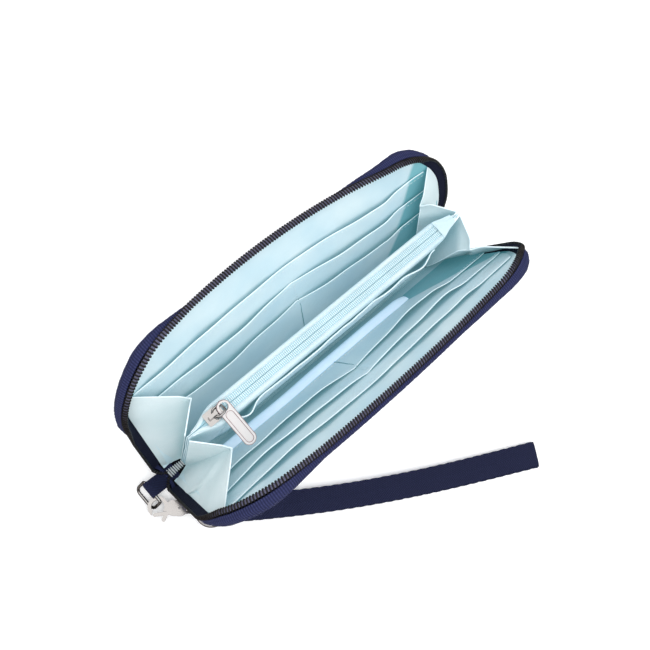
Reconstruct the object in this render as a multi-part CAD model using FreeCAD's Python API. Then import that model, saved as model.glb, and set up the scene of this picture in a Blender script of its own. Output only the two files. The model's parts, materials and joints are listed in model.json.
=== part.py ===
import FreeCAD, Part
import os
from math import acos, atan2, cos, hypot, pi, radians, sin

# Wristlet wallet: a long zip-around wallet, unzipped and standing open on its spine.
# Frame: X along the length with the strap end at -X, Y across with the front panel at +Y, Z up,
# origin at the centre of the spine on the surface it stands on. Millimetres.

V = FreeCAD.Vector
UP = V(0, 0, 1)

# Driving dimensions of the two panels.
LENGTH = 200.0          # panel length
HEIGHT = 100.0          # panel height above its hinge line
CORNER = 33.4           # radius of a panel's two top corners
HINGE_Y = 6.0           # a panel's hinge line: distance from the middle
HINGE_Z = 2.0           # and height
FRONT_LEAN = 14.2       # degrees each open panel leans outward
BACK_LEAN = 20.4
FRONT_BOW = 14.0        # outward bulge of each top edge at mid length
BACK_BOW = 3.8

# Panel layers, as (inner, outer) distances outward from the lining's face.
LINING = (0.0, 0.4)
BOARD = (0.7, 2.0)
COVER = (2.3, 3.3)
BILL_POCKET = (-0.9, -0.5)
UPPER_SLOTS = (-1.7, -1.3)
LOWER_SLOTS = (-2.5, -2.1)
BILL_TOP = 82.0         # heights of the pockets' open edges up the panel
UPPER_TOP = 69.0
LOWER_TOP = 55.0
POCKET_INSET = 3.0      # pockets stop this far inside the panel's sides
POCKET_FOOT = 3.0

# Edge parts, swept round a panel's two sides and its top.
EDGE_FOOT = 7.0         # where the swept parts start above the hinge line
COIL_OUT = 4.6          # coil centre: outward in the panel's plane
COIL_IN = 3.3           # and inward from the lining's face
COIL_R = 1.1

# Coin pocket between the panels.
COIN_HALF = 73.0        # half length of its full-width part
COIN_TIP = 86.6         # its pinched ends at the top
COIN_TOP = 79.8
COIN_WIDTH = 5.6        # half width at the top
WALL = 0.5
SLIP_HALF = 64.0        # the open pocket on the coin pocket's back wall
SLIP_TIP = 69.0
SLIP_TOP = 75.0
CHAIN_START = 90.5      # the main zip's joined ends lie outside the pocket's foot

# Gussets: the top point of each hinge line, and the folds between the two leaves.
GUSSET_TOP = 80.0
GUSSET_FOOT = 4.5
LEAF = 0.5
LEAF_GAP = 0.45         # a leaf stops this far from its hinge line
FOLD_GAP = 1.9          # and this much further from the top of the fold
PANEL_LINE_X = (98.0, 93.5)      # foot and top of the line on the panel
PANEL_LINE_IN = 3.3
CORE_LINE = ((90.3, 1.6), (86.9, 1.5))
FRONT_FOLD = (73.5, 13.4)
BACK_FOLD = (74.0, 15.8)

# Wrist strap hardware.
TAB_BASE = V(-101.4, -0.4, 1.35)
RING_BAR = V(-111.8, -2.0, 7.1)
TAB_HALF = 4.1
RING_HALF = 6.8         # half width of the D ring's bar
RING_DEPTH = 8.2
RING_END_R = 3.0
RING_WIRE = 0.8
RING_TILT = 50.0        # degrees the ring hangs below level
CLASP_Z = 3.2
CLASP_TURN = -45.0      # the clasp's long axis, degrees from +X
CLASP_REACH = 1.0       # opening's centre, from the ring's wire along the clasp
RIVET_AT = 11.0         # distances along the clasp from the opening's centre
BARREL_AT = (14.6, 18.4)
EYE_AT = 27.8
EYE_R = 8.0
EYE_WIRE = 0.9
STRAP_TURN = -31.5
STRAP_LENGTH = 186.0
STRAP_WIDTH = 12.6
STRAP_THICK = 1.1


class Panel:
    """One leaning, bulging half of the wallet; side is +1 for the front and -1 for the back."""

    def __init__(self, name, side, lean, bow, fold):
        self.name = name
        self.side = side
        self.lean = lean
        self.bow = bow
        self.fold = fold

    def place(self, shape):
        """Moves a shape from the upright panel frame (length, outward, up) to the wallet."""
        placed = shape.copy()
        placed.rotate(V(0, 0, 0), V(1, 0, 0), -self.lean)
        placed.translate(V(0, HINGE_Y, HINGE_Z))
        if self.side < 0:
            placed = placed.mirror(V(0, 0, 0), V(0, 1, 0))
        return placed

    def bulge(self, u, v):
        return self.bow * (1 - (2 * u / LENGTH) ** 2) * (v / HEIGHT) ** 2

    def local(self, u, v, outward):
        return V(u, outward + self.bulge(u, v), v)

    def point(self, u, v, outward):
        """The wallet position of a point u along, v up and outward from the lining."""
        turned = FreeCAD.Rotation(V(1, 0, 0), -self.lean).multVec(self.local(u, v, outward))
        moved = turned + V(0, HINGE_Y, HINGE_Z)
        return V(moved.x, self.side * moved.y, moved.z)


FRONT = Panel("front", 1, FRONT_LEAN, FRONT_BOW, FRONT_FOLD)
BACK = Panel("back", -1, BACK_LEAN, BACK_BOW, BACK_FOLD)


# --- Small shape helpers ---

def box(x, y, z):
    """A box from its (low, high) ranges."""
    return Part.makeBox(x[1] - x[0], y[1] - y[0], z[1] - z[0], V(x[0], y[0], z[0]))


def polygon_wire(points):
    return Part.makePolygon(list(points) + [points[0]])


def polygon_face(points):
    return Part.Face(polygon_wire(points))


def loft(wires, ruled=False):
    return Part.makeLoft(wires, True, ruled)


def mirror_x(shape):
    return shape.mirror(V(0, 0, 0), V(1, 0, 0))


def cylinder(start, direction, radius, length):
    return Part.makeCylinder(radius, length, start, direction)


def disc(centre, radius, low, high):
    return cylinder(V(centre[0], centre[1], low), UP, radius, high - low)


def capsule(a, b, radius, low, high):
    """A flat bar with round ends from a to b in plan."""
    along = V(b[0] - a[0], b[1] - a[1], 0)
    across = V(-along.y, along.x, 0).normalize() * radius
    start = V(a[0], a[1], low)
    end = V(b[0], b[1], low)
    bar = polygon_face([start + across, end + across, end - across, start - across])
    solid = bar.extrude(UP * (high - low))
    for centre in (a, b):
        solid = solid.fuse(disc(centre, radius, low, high))
    return solid.removeSplitter()


def wire_solid(path, start, direction, radius):
    """A round wire of the given radius along a closed path."""
    profile = Part.Wire([Part.Circle(start, direction, radius).toShape()])
    return path.makePipeShell([profile], True, True)


def belt_face(big, big_r, small, small_r, y):
    """The outline of a belt round two circles in the XZ plane, as a face at y."""
    dx = small[0] - big[0]
    dz = small[1] - big[1]
    heading = atan2(dz, dx)
    wrap = acos((big_r - small_r) / hypot(dx, dz))

    def at(centre, radius, angle):
        return V(centre[0] + radius * cos(angle), y, centre[1] + radius * sin(angle))

    top, bottom = heading + wrap, heading - wrap
    edges = [
        Part.Arc(at(big, big_r, top), at(big, big_r, heading + pi), at(big, big_r, bottom)).toShape(),
        Part.makeLine(at(big, big_r, bottom), at(small, small_r, bottom)),
        Part.Arc(at(small, small_r, bottom), at(small, small_r, heading), at(small, small_r, top)).toShape(),
        Part.makeLine(at(small, small_r, top), at(big, big_r, top)),
    ]
    return Part.Face(Part.Wire(edges))


# --- Panels ---

def bulged_sheet(panel, inner, outer):
    """A slab of the panel's bulging surface, larger than any layer cut from it."""
    reach_u, reach_v = LENGTH * 0.55, HEIGHT * 1.05
    k = (2 / LENGTH) ** 2
    along = (1 - k * reach_u ** 2, 1 + k * reach_u ** 2, 1 - k * reach_u ** 2)
    patch = Part.BezierSurface()
    patch.increase(2, 2)
    for i in range(3):
        for j in range(3):
            rise = panel.bow * along[i] * (reach_v / HEIGHT) ** 2 if j == 2 else 0.0
            pole = V((i - 1) * reach_u, inner + rise, j * reach_v / 2)
            patch.setPole(i + 1, j + 1, pole)
    return patch.toShape().extrude(V(0, outer - inner, 0))


def outline_prism(inset, foot, head=HEIGHT):
    """The panel's outline with rounded top corners, as a deep prism; head trims its top."""
    half, top, r = LENGTH / 2 - inset, HEIGHT - inset, CORNER - inset
    c = r * (1 - cos(pi / 4))

    def at(x, z):
        return V(x, -30, z)

    wire = Part.Wire([
        Part.makeLine(at(-half, foot), at(-half, top - r)),
        Part.Arc(at(-half, top - r), at(-half + c, top - c), at(-half + r, top)).toShape(),
        Part.makeLine(at(-half + r, top), at(half - r, top)),
        Part.Arc(at(half - r, top), at(half - c, top - c), at(half, top - r)).toShape(),
        Part.makeLine(at(half, top - r), at(half, foot)),
        Part.makeLine(at(half, foot), at(-half, foot)),
    ])
    prism = Part.Face(wire).extrude(V(0, 80, 0))
    if head >= top:
        return prism
    return prism.common(box((-half, half), (-30, 50), (foot, head)))


def panel_layer(panel, faces, inset, foot, head=HEIGHT):
    layer = bulged_sheet(panel, *faces).common(outline_prism(inset, foot, head))
    return panel.place(layer.Solids[0])


def edge_stations():
    """Points round the panel's outline from foot to foot, each with its outward direction."""
    half, top, r = LENGTH / 2, HEIGHT, CORNER
    sides = [EDGE_FOOT + (top - r - EDGE_FOOT) * i / 4 for i in range(4)]
    turns = [radians(18 * i) for i in range(6)]
    across = [(half - r) * (i / 3 - 1) for i in range(1, 6)]
    near = [(-half, v, -1, 0) for v in sides]
    near += [(-half + r - r * cos(t), top - r + r * sin(t), -cos(t), sin(t)) for t in turns]
    far = [(-u, v, -nu, nv) for u, v, nu, nv in reversed(near)]
    return near + [(u, top, 0, 1) for u in across] + far


def edge_point(panel, station, out, outward):
    u, v, nu, nv = station
    return panel.local(u + out * nu, v + out * nv, outward)


def edge_sweep(panel, profile):
    """Sweeps a profile, given as (out, outward) points, round the panel's edge."""
    wires = [polygon_wire([edge_point(panel, s, *p) for p in profile]) for s in edge_stations()]
    return panel.place(loft(wires))


def edge_band(panel):
    profile = [(-4.0, 3.6), (0.9, 3.6), (1.7, 2.9), (4.7, -1.0), (5.6, -0.8), (2.7, 3.4), (1.3, 4.4), (-4.0, 4.4)]
    return edge_sweep(panel, profile)


def main_zip_tape(panel):
    return edge_sweep(panel, [(0.3, 0.1), (3.6, -2.0), (4.4, -1.7), (1.0, 1.9), (0.4, 1.9)])


def main_zip_coil(panel):
    """An eight-sided bar through the middle of the coil's teeth."""
    turns = [pi / 8 + i * pi / 4 for i in range(8)]
    profile = [(COIL_OUT + COIL_R * cos(t), COIL_R * sin(t) - COIL_IN) for t in turns]
    return edge_sweep(panel, profile)


def panel_parts(panel):
    name = panel.name
    return {
        name + "_cover": panel_layer(panel, COVER, 0.0, 0.6),
        name + "_board": panel_layer(panel, BOARD, 1.0, 2.0),
        name + "_lining": panel_layer(panel, LINING, 0.6, 1.2),
        name + "_bill_pocket": panel_layer(panel, BILL_POCKET, POCKET_INSET, POCKET_FOOT, BILL_TOP),
        name + "_upper_card_slots": panel_layer(panel, UPPER_SLOTS, POCKET_INSET, POCKET_FOOT, UPPER_TOP),
        name + "_lower_card_slots": panel_layer(panel, LOWER_SLOTS, POCKET_INSET, POCKET_FOOT, LOWER_TOP),
        name + "_edge_band": edge_band(panel),
        name + "_zip_tape": main_zip_tape(panel),
        name + "_zip_coil": main_zip_coil(panel),
    }


# --- Spine and coin pocket ---

def spine_cover():
    strip = box((-100, 100), (-9.4, 9.4), (0, 1.0))
    long_edges = [e for e in strip.Edges if e.Length > 150 and e.CenterOfMass.z < 0.5]
    return strip.makeFillet(0.8, long_edges)


def spine_lining():
    return box((-97, 97), (-5.4, 5.4), (1.25, 1.65))


def pocket_wall(side, top_width, foot_width, top, out):
    """A wall that leans out from the foot and pinches in at both ends."""
    def strip(half, tip, tip_width, width, z):
        outer = [(-tip, tip_width), (-half, width), (half, width), (tip, tip_width)]
        inner = [(x, y - WALL) for x, y in reversed(outer)]
        return polygon_wire([V(x, side * (y + out), z) for x, y in outer + inner])

    foot = strip(COIN_HALF, COIN_TIP + 3.4, 0.8, foot_width, 2.0)
    head = strip(COIN_HALF, COIN_TIP, 0.8, top_width, top)
    return loft([foot, head], ruled=True)


def slip_pocket():
    """The open pocket on the coin pocket's back wall, a little lower than the zip."""
    def strip(tip_y, width, z):
        outer = [(-SLIP_TIP, tip_y), (-SLIP_HALF, width), (SLIP_HALF, width), (SLIP_TIP, tip_y)]
        inner = [(x, y - WALL) for x, y in reversed(outer)]
        return polygon_wire([V(x, -y, z) for x, y in outer + inner])

    return loft([strip(2.1, 2.2, 4.0), strip(6.4, 6.9, SLIP_TOP)], ruled=True)


def coin_tape(side):
    strip = box((-78.0, 79.5), (1.0, 5.6), (80.1, 80.5))
    return strip if side > 0 else strip.mirror(V(0, 0, 0), V(0, 1, 0))


def coin_coil(side):
    """Half of the closed coil, leaving a slit for the slider's post to pass along."""
    length = 148.0
    bar = cylinder(V(-76.0, 0, 81.0), V(1, 0, 0), 1.9, length)
    half = bar.common(box((-80, 80), (0.45, 3), (80.65, 81.9)))
    return half if side > 0 else half.mirror(V(0, 0, 0), V(0, 1, 0))


def coin_end_tab():
    return box((73.5, 79.5), (-5.4, 5.4), (80.7, 81.2))


def end_chain(inner, outer):
    """The joined end of the main zip's chain on its two tapes, lying on the spine lining."""
    coil = box((inner, outer), (-1.9, 1.9), (2.3, 3.9))
    tapes = box((inner, outer), (-5.0, 5.0), (1.85, 2.35))
    return coil.fuse(tapes).removeSplitter()


# --- Gussets ---

def gusset_points(panel):
    """Hinge and fold points of a far-end gusset: on the panel, at the fold and on the core."""
    side = panel.side
    foot_u, top_u = PANEL_LINE_X
    rise = GUSSET_TOP / cos(radians(panel.lean))
    return {
        "panel_foot": panel.point(foot_u, GUSSET_FOOT, -PANEL_LINE_IN),
        "panel_top": panel.point(top_u, rise, -PANEL_LINE_IN),
        "fold_top": V(panel.fold[0], side * panel.fold[1], GUSSET_TOP),
        "core_foot": V(CORE_LINE[0][0], side * CORE_LINE[0][1], GUSSET_FOOT),
        "core_top": V(CORE_LINE[1][0], side * CORE_LINE[1][1], GUSSET_TOP),
    }


def thin_plate(points):
    """A thin plate through the points, set back from its outline."""
    normal = (points[1] - points[0]).cross(points[2] - points[0]).normalize()
    flat = [p - normal * (p - points[0]).dot(normal) for p in points]
    outline = polygon_wire(flat).makeOffset2D(-LEAF_GAP)
    plate = Part.Face(outline).extrude(normal * LEAF)
    plate.translate(normal * (-LEAF / 2))
    return plate


def gusset_leaves(panel):
    p = gusset_points(panel)
    outer_tip = p["fold_top"] + (p["panel_top"] - p["fold_top"]).normalize() * FOLD_GAP
    inner_tip = p["fold_top"] + (p["core_top"] - p["fold_top"]).normalize() * FOLD_GAP
    outer_foot = p["core_foot"] + V(0.4, panel.side * 1.6, 0)
    inner_foot = p["core_foot"] + V(-0.9, 0, 0)
    outer = thin_plate([p["panel_foot"], p["panel_top"], outer_tip, outer_foot])
    inner = thin_plate([p["core_foot"], p["core_top"], inner_tip, inner_foot])
    return outer, inner


def gusset_parts(panel):
    outer, inner = gusset_leaves(panel)
    name = panel.name
    return {
        name + "_far_gusset_outer_leaf": outer,
        name + "_far_gusset_inner_leaf": inner,
        name + "_near_gusset_outer_leaf": mirror_x(outer),
        name + "_near_gusset_inner_leaf": mirror_x(inner),
    }


# --- Coin zip slider and pull ---

SLIDER_X = -71.5
LINK_WIRE = 0.5
LINK_BACK = -71.7       # where the link passes under the slider's bridge
LINK_FRONT = -66.4      # and through the pull plate
LINK_Z = 85.0
LINK_HALF = 2.5
LINK_ROLL = -20.0
PULL_DROOP = 25.0
PULL_LENGTH = 25.5


def slider_wing(z_low, z_high, half):
    """A slider's flat wing: wide at its mouth and narrower at its tail."""
    points = [(-4.6, -half), (-4.6, half), (1.0, half), (4.4, half * 0.72), (4.4, -half * 0.72), (1.0, -half)]
    face = polygon_face([V(x, y, z_low) for x, y in points])
    wing = face.extrude(UP * (z_high - z_low))
    upright = [e for e in wing.Edges if abs(e.Length - (z_high - z_low)) < 1e-6]
    return wing.makeFillet(0.8, upright)


def coin_slider():
    top = slider_wing(82.2, 83.0, 3.3)
    bottom = slider_wing(78.3, 79.2, 3.1)
    post = box((-4.4, -2.6), (-0.3, 0.3), (79.0, 82.4))
    bridge = box((-3.0, 1.4), (-0.8, 0.8), (82.8, 86.3))
    window = cylinder(V(-0.2, -2, LINK_Z), V(0, 1, 0), 0.95, 4)
    slider = top.fuse(bottom).fuse(post).fuse(bridge.cut(window)).removeSplitter()
    slider.translate(V(SLIDER_X, 0, 0))
    return slider


def rounded_loop(length, half, wire, roll):
    """A wire loop from the origin along +X, with two straight bars across Y."""
    r = half * 0.75
    c = r * (1 - cos(pi / 4))

    def arc(a, b, m):
        return Part.Arc(V(*a, 0), V(*m, 0), V(*b, 0)).toShape()

    def line(a, b):
        return Part.makeLine(V(*a, 0), V(*b, 0))

    path = Part.Wire([
        line((0, -half + r), (0, half - r)),
        arc((0, half - r), (r, half), (c, half - c)),
        line((r, half), (length - r, half)),
        arc((length - r, half), (length, half - r), (length - c, half - c)),
        line((length, half - r), (length, -half + r)),
        arc((length, -half + r), (length - r, -half), (length - c, -half + c)),
        line((length - r, -half), (r, -half)),
        arc((r, -half), (0, -half + r), (c, -half + c)),
    ])
    loop = wire_solid(path, V(0, -half + r, 0), V(0, 1, 0), wire)
    loop.rotate(V(0, 0, 0), V(1, 0, 0), roll)
    return loop


def coin_pull_link():
    loop = rounded_loop(LINK_FRONT - LINK_BACK, LINK_HALF, LINK_WIRE, LINK_ROLL)
    loop.translate(V(LINK_BACK, 0, LINK_Z))
    return loop


def pull_plate(length, width, thick, hole, rim, recess):
    """A long round-ended pull along +X, its hole at the origin, with a recessed field."""
    radius = width / 2
    end = length - 2 * radius
    plate = capsule((0, 0), (end, 0), radius, -thick / 2, thick / 2)
    plate = plate.cut(disc((0, 0), hole, -thick, thick))
    field = capsule((radius + 1.6, 0), (end, 0), radius - rim, thick / 2 - recess, thick)
    return plate.cut(field)


def coin_pull_plate():
    plate = pull_plate(PULL_LENGTH, 6.4, 1.1, 2.2, 1.2, 0.25)
    plate.rotate(V(0, 0, 0), UP, -87)
    plate.rotate(V(0, 0, 0), V(1, 0, 0), PULL_DROOP)
    plate.translate(V(LINK_FRONT, 0, LINK_Z))
    return plate


# --- Main zip slider and pull, at the far end ---

ZIP_SLIDER_X = 105.2
ZIP_PIVOT = V(111.4, 0, 2.6)


def zip_slider():
    top = slider_wing(4.6, 5.6, 3.8)
    bottom = slider_wing(0.5, 1.5, 3.8)
    post = box((-1.2, 1.2), (-1.4, 1.4), (1.3, 4.8))
    cheeks = [box((1.0, 7.3), (s * 1.9 - 0.5, s * 1.9 + 0.5), (1.3, 3.8)) for s in (-1, 1)]
    slider = top.fuse(bottom).fuse(post)
    for cheek in cheeks:
        slider = slider.fuse(cheek)
    pin = cylinder(V(ZIP_PIVOT.x - ZIP_SLIDER_X, -2.2, ZIP_PIVOT.z), V(0, 1, 0), 0.5, 4.4)
    slider = slider.fuse(pin).removeSplitter()
    slider.translate(V(ZIP_SLIDER_X, 0, 0))
    return slider


def zip_pull():
    eye = cylinder(V(0, -1.2, 0), V(0, 1, 0), 1.1, 2.4)
    neck = box((0.6, 3.4), (-1.2, 1.2), (-0.5, 0.5))
    plate = capsule((4.4, 0), (8.6, 0), 2.2, -0.5, 0.5)
    pull = eye.fuse(neck).fuse(plate).removeSplitter()
    pull = pull.cut(cylinder(V(0, -2, 0), V(0, 1, 0), 0.56, 4))
    pull.translate(ZIP_PIVOT)
    return pull


# --- Strap tab, ring, clasp and strap ---

def strap_tab():
    """Webbing folded round the ring's bar and sewn down at its base."""
    low_y = TAB_BASE.y - TAB_HALF
    fold = (RING_BAR.x, RING_BAR.z)
    base = (TAB_BASE.x, TAB_BASE.z)
    outside = belt_face(fold, 2.0, base, 1.1, low_y)
    inner_end = (fold[0] + 4.5, fold[1] - 4.5 * (fold[1] - base[1]) / (base[0] - fold[0]))
    slot = belt_face(fold, RING_WIRE + 0.12, inner_end, 0.4, low_y)
    return outside.cut(slot).extrude(V(0, 2 * TAB_HALF, 0))


def strap_ring():
    """A D ring hanging from the tab: a straight bar, two legs and a round end."""
    h, r = RING_HALF, RING_END_R
    c = r * (1 - cos(pi / 4))
    leg = RING_DEPTH - r
    bend = 1.0
    b = bend * (1 - cos(pi / 4))

    def at(x, y):
        return V(-x, y, 0)

    path = Part.Wire([
        Part.makeLine(at(0, -h + bend), at(0, h - bend)),
        Part.Arc(at(0, h - bend), at(b, h - b), at(bend, h)).toShape(),
        Part.makeLine(at(bend, h), at(leg, h)),
        Part.Arc(at(leg, h), at(leg + r - c, h - c), at(RING_DEPTH, h - r)).toShape(),
        Part.makeLine(at(RING_DEPTH, h - r), at(RING_DEPTH, -h + r)),
        Part.Arc(at(RING_DEPTH, -h + r), at(leg + r - c, -h + c), at(leg, -h)).toShape(),
        Part.makeLine(at(leg, -h), at(bend, -h)),
        Part.Arc(at(bend, -h), at(b, -h + b), at(0, -h + bend)).toShape(),
    ])
    ring = wire_solid(path, at(0, -h + bend), V(0, 1, 0), RING_WIRE)
    ring.rotate(V(0, 0, 0), V(0, 1, 0), -RING_TILT)
    ring.translate(RING_BAR)
    return ring


def ring_hold():
    """Where the clasp holds the ring: the lower leg's middle at the clasp's height."""
    drop = RING_BAR.z - CLASP_Z
    run = drop * cos(radians(RING_TILT)) / sin(radians(RING_TILT))
    return V(RING_BAR.x - run, RING_BAR.y - RING_HALF, CLASP_Z)


def clasp_origin():
    turn = radians(CLASP_TURN)
    return ring_hold() + V(cos(turn), sin(turn), 0) * CLASP_REACH


def place_clasp(shape):
    """Moves a shape from the clasp's frame (along, left, up from its mid plane)."""
    placed = shape.copy()
    placed.rotate(V(0, 0, 0), UP, CLASP_TURN)
    placed.translate(clasp_origin())
    return placed


def clasp_hook():
    """The hook body: an open claw, a forked body for the gate, and a barrel for the swivel."""
    thick, claw_thick = 1.5, 1.2
    claw = disc((0, 0), 5.3, -claw_thick, claw_thick).cut(disc((0, 0), 3.4, -3, 3))
    mouth = polygon_face([V(-2.6, -2.0, -3), V(-2.6, -7, -3), V(7, -7, -3), V(7, -2.0, -3)])
    claw = claw.cut(mouth.extrude(UP * 6))
    body = capsule((8.0, 0), (11.5, 0), 4.0, -thick, thick)
    body = body.cut(disc((0, 0), 3.4, -thick - 1, thick + 1))
    neck = capsule((11.5, 0), (15.0, 0), 2.6, -thick, thick)
    slot = box((2.0, 14.0), (-9.0, 3.3), (-0.65, 0.65))
    barrel = cylinder(V(BARREL_AT[0], 0, 0), V(1, 0, 0), 2.5, BARREL_AT[1] - BARREL_AT[0])
    cavity = cylinder(V(BARREL_AT[0] + 0.8, 0, 0), V(1, 0, 0), 1.75, 2.2)
    bore = cylinder(V(BARREL_AT[0] + 2.0, 0, 0), V(1, 0, 0), 1.07, 6)
    hook = claw.fuse(body).fuse(neck).fuse(barrel)
    pivot = disc((RIVET_AT, 0), 1.0, -3, 3)
    hook = hook.cut(slot).cut(cavity).cut(bore).cut(pivot)
    return place_clasp(hook.removeSplitter())


def clasp_gate():
    """The sprung gate: a boss on the rivet, an arm across the mouth and a thumb nib."""
    half = 0.5
    boss = disc((RIVET_AT, 0), 2.6, -half, half)
    arm = capsule((RIVET_AT - 0.8, -1.8), (-1.2, -4.2), 0.9, -half, half)
    nib = capsule((4.5, -3.6), (3.6, -6.4), 1.0, -half, half)
    gate = boss.fuse(arm).fuse(nib).removeSplitter()
    return place_clasp(gate.cut(disc((RIVET_AT, 0), 1.05, -2, 2)))


def clasp_rivet():
    """A tubular rivet with a rolled head at each end."""
    shank = disc((RIVET_AT, 0), 0.98, -2.0, 2.0)
    heads = [disc((RIVET_AT, 0), 1.8, low, low + 0.45) for low in (-2.0, 1.55)]
    rivet = shank.fuse(heads[0]).fuse(heads[1]).cut(disc((RIVET_AT, 0), 0.55, -3, 3))
    return place_clasp(rivet.removeSplitter())


def clasp_eye():
    """The swivel eye: a headed post that turns in the barrel, ending in a round eye."""
    head = cylinder(V(BARREL_AT[0] + 0.9, 0, 0), V(1, 0, 0), 1.6, 1.2)
    shaft = cylinder(V(BARREL_AT[0] + 1.0, 0, 0), V(1, 0, 0), 1.0, EYE_AT - EYE_R - BARREL_AT[0] - 0.9)
    eye = Part.makeTorus(EYE_R, EYE_WIRE, V(EYE_AT, 0, 0), UP)
    return place_clasp(head.fuse(shaft).fuse(eye).removeSplitter())


def wrist_strap():
    """Webbing doubled into a long flat loop that passes through the eye."""
    reach = 4.1
    big, small = (reach, 0.0), (STRAP_LENGTH, 1.45 - CLASP_Z)
    low_y = -STRAP_WIDTH / 2
    outside = belt_face(big, 1.05 + STRAP_THICK, small, 0.3 + STRAP_THICK, low_y)
    inside = belt_face(big, 1.05, small, 0.3, low_y)
    strap = outside.cut(inside).extrude(V(0, STRAP_WIDTH, 0))
    strap.rotate(V(0, 0, 0), UP, STRAP_TURN)
    turn = radians(CLASP_TURN)
    strap.translate(clasp_origin() + V(cos(turn), sin(turn), 0) * EYE_AT)
    return strap


# --- Everything, by node name ---

def wallet_parts():
    parts = {
        "spine_cover": spine_cover(),
        "spine_lining": spine_lining(),
        "coin_pocket_front_wall": pocket_wall(1, COIN_WIDTH, 1.2, COIN_TOP, 0.0),
        "coin_pocket_back_wall": pocket_wall(-1, COIN_WIDTH, 1.2, COIN_TOP, 0.0),
        "coin_slip_pocket": slip_pocket(),
        "coin_zip_tape_front": coin_tape(1),
        "coin_zip_tape_back": coin_tape(-1),
        "coin_zip_coil_front": coin_coil(1),
        "coin_zip_coil_back": coin_coil(-1),
        "coin_zip_end_tab": coin_end_tab(),
        "main_zip_near_chain": end_chain(-99.4, -CHAIN_START),
        "main_zip_far_chain": end_chain(CHAIN_START, 99.4),
        "coin_slider": coin_slider(),
        "coin_pull_link": coin_pull_link(),
        "coin_pull_plate": coin_pull_plate(),
        "zip_slider": zip_slider(),
        "zip_pull": zip_pull(),
        "strap_tab": strap_tab(),
        "strap_ring": strap_ring(),
        "clasp_hook": clasp_hook(),
        "clasp_gate": clasp_gate(),
        "clasp_rivet": clasp_rivet(),
        "clasp_eye": clasp_eye(),
        "wrist_strap": wrist_strap(),
    }
    for panel in (FRONT, BACK):
        parts.update(panel_parts(panel))
        parts.update(gusset_parts(panel))
    return parts


os.makedirs("parts", exist_ok=True)
for node, shape in wallet_parts().items():
    shape.exportStep("parts/" + node + ".step")
    print(node, len(shape.Solids), "solid(s)", round(shape.Volume, 1), "mm3", shape.isValid())
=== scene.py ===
"""Looks of an open wristlet wallet, built round its CAD frame. Lengths are millimetres unless noted."""
import json
from math import atan2, cos, pi, radians, sin

import bmesh
import bpy
import numpy as np
from mathutils import Matrix, Vector


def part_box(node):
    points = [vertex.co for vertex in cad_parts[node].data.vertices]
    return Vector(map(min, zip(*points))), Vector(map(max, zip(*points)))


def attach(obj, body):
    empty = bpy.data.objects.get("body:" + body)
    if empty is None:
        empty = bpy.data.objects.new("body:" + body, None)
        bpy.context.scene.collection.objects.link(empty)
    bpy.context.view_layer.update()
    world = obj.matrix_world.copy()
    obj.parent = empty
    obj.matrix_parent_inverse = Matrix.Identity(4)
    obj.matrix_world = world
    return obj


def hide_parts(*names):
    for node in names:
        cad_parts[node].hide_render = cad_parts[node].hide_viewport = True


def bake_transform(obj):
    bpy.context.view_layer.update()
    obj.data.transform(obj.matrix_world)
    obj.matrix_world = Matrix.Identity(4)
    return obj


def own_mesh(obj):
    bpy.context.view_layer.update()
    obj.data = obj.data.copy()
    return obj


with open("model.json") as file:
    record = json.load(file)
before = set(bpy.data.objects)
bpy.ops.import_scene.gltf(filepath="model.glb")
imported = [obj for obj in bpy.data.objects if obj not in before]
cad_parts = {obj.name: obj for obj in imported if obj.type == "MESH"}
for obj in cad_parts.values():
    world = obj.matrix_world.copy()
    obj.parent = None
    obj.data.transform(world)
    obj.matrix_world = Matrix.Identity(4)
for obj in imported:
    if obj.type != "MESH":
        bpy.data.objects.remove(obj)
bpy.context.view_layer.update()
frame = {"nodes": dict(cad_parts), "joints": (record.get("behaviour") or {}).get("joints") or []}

MM = 0.001

# Driving dimensions, the same as the frame's.
LENGTH = 200.0
HEIGHT = 100.0
CORNER = 33.4
HINGE_Y = 6.0
HINGE_Z = 2.0
EDGE_FOOT = 7.0
COIL_PITCH = 1.4
COIN_HALF = 73.0
COIN_TIP = 86.6
WALL_FOOT = 2.2
WALL_TOP = 79.4
COIN_WIDTH = 5.6
GUSSET_TOP = 80.0
GUSSET_FOOT = 3.6
FOLD_DROOP = 5.0


# --- Meshes ---

def make_object(name, points, faces, material, uvs=None, sharp=40):
    """A mesh object from millimetre points; uvs are millimetres on the fabric, one pair per point."""
    mesh = bpy.data.meshes.new(name)
    mesh.from_pydata((np.asarray(points) * MM).tolist(), [], faces)
    if uvs is not None:
        corners = np.zeros(len(mesh.loops), np.int32)
        mesh.loops.foreach_get("vertex_index", corners)
        layer = mesh.uv_layers.new(name="mm")
        layer.data.foreach_set("uv", np.asarray(uvs, np.float32)[corners].ravel())
    work = bmesh.new()
    work.from_mesh(mesh)
    bmesh.ops.recalc_face_normals(work, faces=work.faces)
    work.to_mesh(mesh)
    work.free()
    mesh.polygons.foreach_set("use_smooth", [True] * len(mesh.polygons))
    mesh.set_sharp_from_angle(angle=radians(sharp))
    mesh.materials.append(material)
    obj = bpy.data.objects.new(name, mesh)
    bpy.context.scene.collection.objects.link(obj)
    return obj


def xyz(x, y, z):
    """Points from coordinates that broadcast together."""
    return np.stack(np.broadcast_arrays(x, y, z), axis=-1)


def grid_normals(points):
    across = np.gradient(points, axis=0)
    along = np.gradient(points, axis=1)
    normals = np.cross(across, along)
    return normals / np.maximum(np.linalg.norm(normals, axis=2, keepdims=True), 1e-9)


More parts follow.
